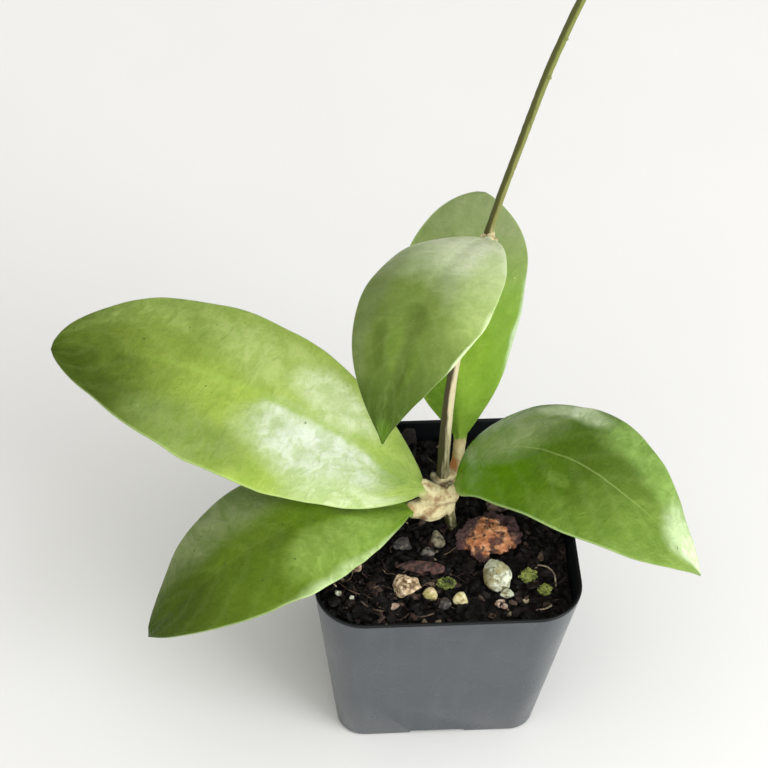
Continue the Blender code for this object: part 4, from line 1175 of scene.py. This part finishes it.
def leaf_finish(name, leaf):
    """Waxy skin: shades from base to tip, patches of bloom and painted light, then fine marks."""
    material, spot = new_finish(name + "_skin", leaf["shade"][1], 0.3, **LEAF_GLOW)
    along, side, under = add("SeparateXYZ", {"Vector": marks_on(spot)})
    reach = sums(side, operation="ABSOLUTE")
    clouds = grain(spot, 55, 3)
    mottle = grain(spot, 260, 5, 0.65)
    skin = grain(spot, 1300, 3, 0.6)

    flat = add("CombineXYZ", {"X": along, "Y": side, "Z": 0.0})[0]
    stretch = (leaf["length"] * 0.36, leaf["width"] * 0.1, 1)
    wrinkles = grain(flat, 1, 4, 0.6, stretch, distortion=0.7)
    dents = sums(times(grain(spot, 150, 3, distortion=0.5), 0.5), times(wrinkles, 0.5))

    grade = sums(along, span(clouds, 0.25, 0.75, -0.07, 0.07))
    near, middle, tip = leaf["shade"]
    colour = shades(grade, [(0.05, near), (0.48, middle), (0.95, tip)])
    noisy = add("TexNoise", {"Vector": spot, "Scale": 70, "Detail": 2})["Color"]
    push = {0: noisy, 1: (0.1, 0.36, 0.0), 2: flat}
    ragged = add("VectorMath", push, operation="MULTIPLY_ADD")[0]
    uneven = span(dents, 0.42, 0.58, 1 - 0.42 * leaf["relief"], 1.0)
    # waxy bloom and painted light: painted reflections, sheen and shade, broken up over the dents
    for (t, across), (length, width), amount, shade in leaf["bloom_and_painted_light"]:
        where = (t + 0.05, across + 0.18, 0)
        bloom_and_light = patch(ragged, where, (length, width, 1), (0.45, 1.15), amount)
        colour = tint(times(bloom_and_light, uneven), colour, shade)
    darker = tint(1.0, colour, (0.89, 0.925, 0.84), "MULTIPLY")
    colour = tint(span(mottle, 0.4, 0.62), colour, darker)
    # painted shade in the dents, which also break up the bloom and painted reflections above
    darker = tint(1.0, colour, (0.78, 0.84, 0.69), "MULTIPLY")
    colour = tint(span(dents, 0.42, 0.56, 0.75 * leaf["relief"], 0.0), colour, darker)
    lighter = tint(1.0, colour, (1.12, 1.09, 1.14), "MULTIPLY")
    colour = tint(span(skin, 0.35, 0.7, 0.0, 0.7), colour, lighter)

    veins = sums(times(along, 9.0), times(reach, 2.2), "SUBTRACT")
    veins = sums(sums(veins, times(mottle, 0.9)), operation="FRACT")
    veins = sums(sums(veins, 0.5, "SUBTRACT"), operation="ABSOLUTE")
    colour = tint(span(veins, 0.0, 0.25, leaf["veins"], 0.0), colour, (0.4, 0.52, 0.18))
    strength, rib_colour, breadth, swing = leaf["rib"]
    bend = sums(side, span(grain(spot, 130, 2), 0.3, 0.7, -0.008, 0.008))
    bend = sums(bend, span(along, 0.0, 1.0, -swing, 0.0))
    rib = span(sums(bend, operation="ABSOLUTE"), 0.002, breadth, strength, 0.0)
    rib = times(rib, span(along, 0.62, 0.82, 1.0, 0.0))
    rib = times(rib, span(along, 0.05, 0.3))
    colour = tint(rib, colour, rib_colour)
    # painted rim light: a thin pale line along the margin
    painted_rim_light = span(reach, 0.968, 0.998, 0.0, 0.4)
    colour = tint(painted_rim_light, colour, (0.38, 0.5, 0.22))

    specks = span(cells(wander(spot, 900, 0.0012), 310), 0.05, 0.12, 1.0, 0.0)
    fewest = leaf["specks"]
    specks = times(specks, span(grain(spot, 75, 2), fewest, fewest + 0.06))
    colour = tint(times(specks, 0.7), colour, (0.028, 0.045, 0.008))
    flecks = span(cells(spot, 170), 0.03, 0.065, 1.0, 0.0)
    flecks = times(flecks, span(grain(spot, 60, 2), 0.54, 0.6))
    colour = tint(times(flecks, 0.6), colour, (0.45, 0.52, 0.28))
    colour = tint(times(under, 0.6), colour, (0.26, 0.36, 0.15))

    cork = cork_colour(spot, mottle)
    stalk = sums(along, span(mottle, 0.3, 0.7, -0.015, 0.015))
    border = leaf["cork_to"]
    colour = tint(span(stalk, border - 0.03, border, 1.0, 0.0), colour, cork)

    rough = sums(span(mottle, 0.3, 0.7, 0.27, 0.38), times(under, 0.2))
    rough = sums(rough, span(stalk, border - 0.03, border, 0.35, 0.0))
    height = sums(dents, times(skin, 0.05))
    return coat(material, colour, rough, (height, 0.8 * leaf["relief"], 1.6))


for name, leaf in LEAVES.items():
    bm = bmesh.new()
    loft(bm, *leaf_skin(leaf))
    set_in_place(name + "_blade", bm, [leaf_finish(name, leaf)], name, sharp=80)


# Studio: a pale matt table top in a bright room, lightest on the near side, with one soft window
# at the front right.
TABLE_SIZE = 3.0
WINDOW_FROM = (-40.0, 25.0)  # azimuth and elevation of the window, seen from the plant
WINDOW_DISTANCE = 0.8
WINDOW_SIZE = (0.5, 0.6)
WINDOW_POWER = 5.1
BRIGHT_SIDE = (0.0, -1.0, 0.0)  # the way towards the lightest wall
ROOM_LIGHT = (0.34, 1.97)  # strength away from that way, and towards it
WALL_TONE = (1.0, 0.955, 0.88)
CEILING_TONE = (1.0, 0.99, 0.972)
AIM = Vector((0.0, 0.0, 0.075))
CAMERA_PLACE = (-0.08344, -0.49783, 0.66294)
CAMERA_TURN = (41.853, -2.736, -4.642)
CAMERA_LENS = 153.49


bm = bmesh.new()
bmesh.ops.create_grid(bm, x_segments=1, y_segments=1, size=TABLE_SIZE / 2)
table = add_to_scene("table_top", bm)
material, spot = new_finish("table_white", (0.68, 0.68, 0.67), 0.7)
colour = tint(grain(spot, 14, 3), (0.665, 0.664, 0.655), (0.7, 0.7, 0.693))
table.data.materials.append(coat(material, colour))

azimuth, elevation = (radians(angle) for angle in WINDOW_FROM)
level = cos(elevation)
way = Vector((cos(azimuth) * level, sin(azimuth) * level, sin(elevation)))
window = bpy.data.lights.new("window", "AREA")
window.shape = "RECTANGLE"
window.size, window.size_y = WINDOW_SIZE
window.energy = WINDOW_POWER
window.color = (0.97, 0.985, 1.0)
holder = add_to_scene("window", window)
holder.visible_camera = False
holder.location = AIM + way * WINDOW_DISTANCE
holder.rotation_euler = way.to_track_quat("Z", "Y").to_euler()
world = bpy.data.worlds.new("room")
world.use_nodes = True
tree = world.node_tree
background = tree.nodes["Background"]
way = tree.nodes.new("ShaderNodeTexCoord").outputs["Generated"]
facing = add("VectorMath", {0: way, 1: BRIGHT_SIDE}, operation="DOT_PRODUCT")["Value"]
dim, bright = ROOM_LIGHT
walls = sums(times(facing, (bright - dim) / 2), (bright + dim) / 2)
tone = tint(span(part(way, "Z"), 0.0, 0.6), WALL_TONE, CEILING_TONE)
tree.links.new(tone, background.inputs["Color"])
tree.links.new(walls, background.inputs["Strength"])
bpy.context.scene.world = world
bpy.context.scene.view_settings.view_transform = "Standard"

camera = bpy.data.cameras.new("camera")
camera.sensor_width = 36.0
camera.lens = CAMERA_LENS
camera.clip_end = 20.0
holder = add_to_scene("camera", camera)
holder.location = CAMERA_PLACE
holder.rotation_euler = [radians(angle) for angle in CAMERA_TURN]
bpy.context.scene.camera = holder
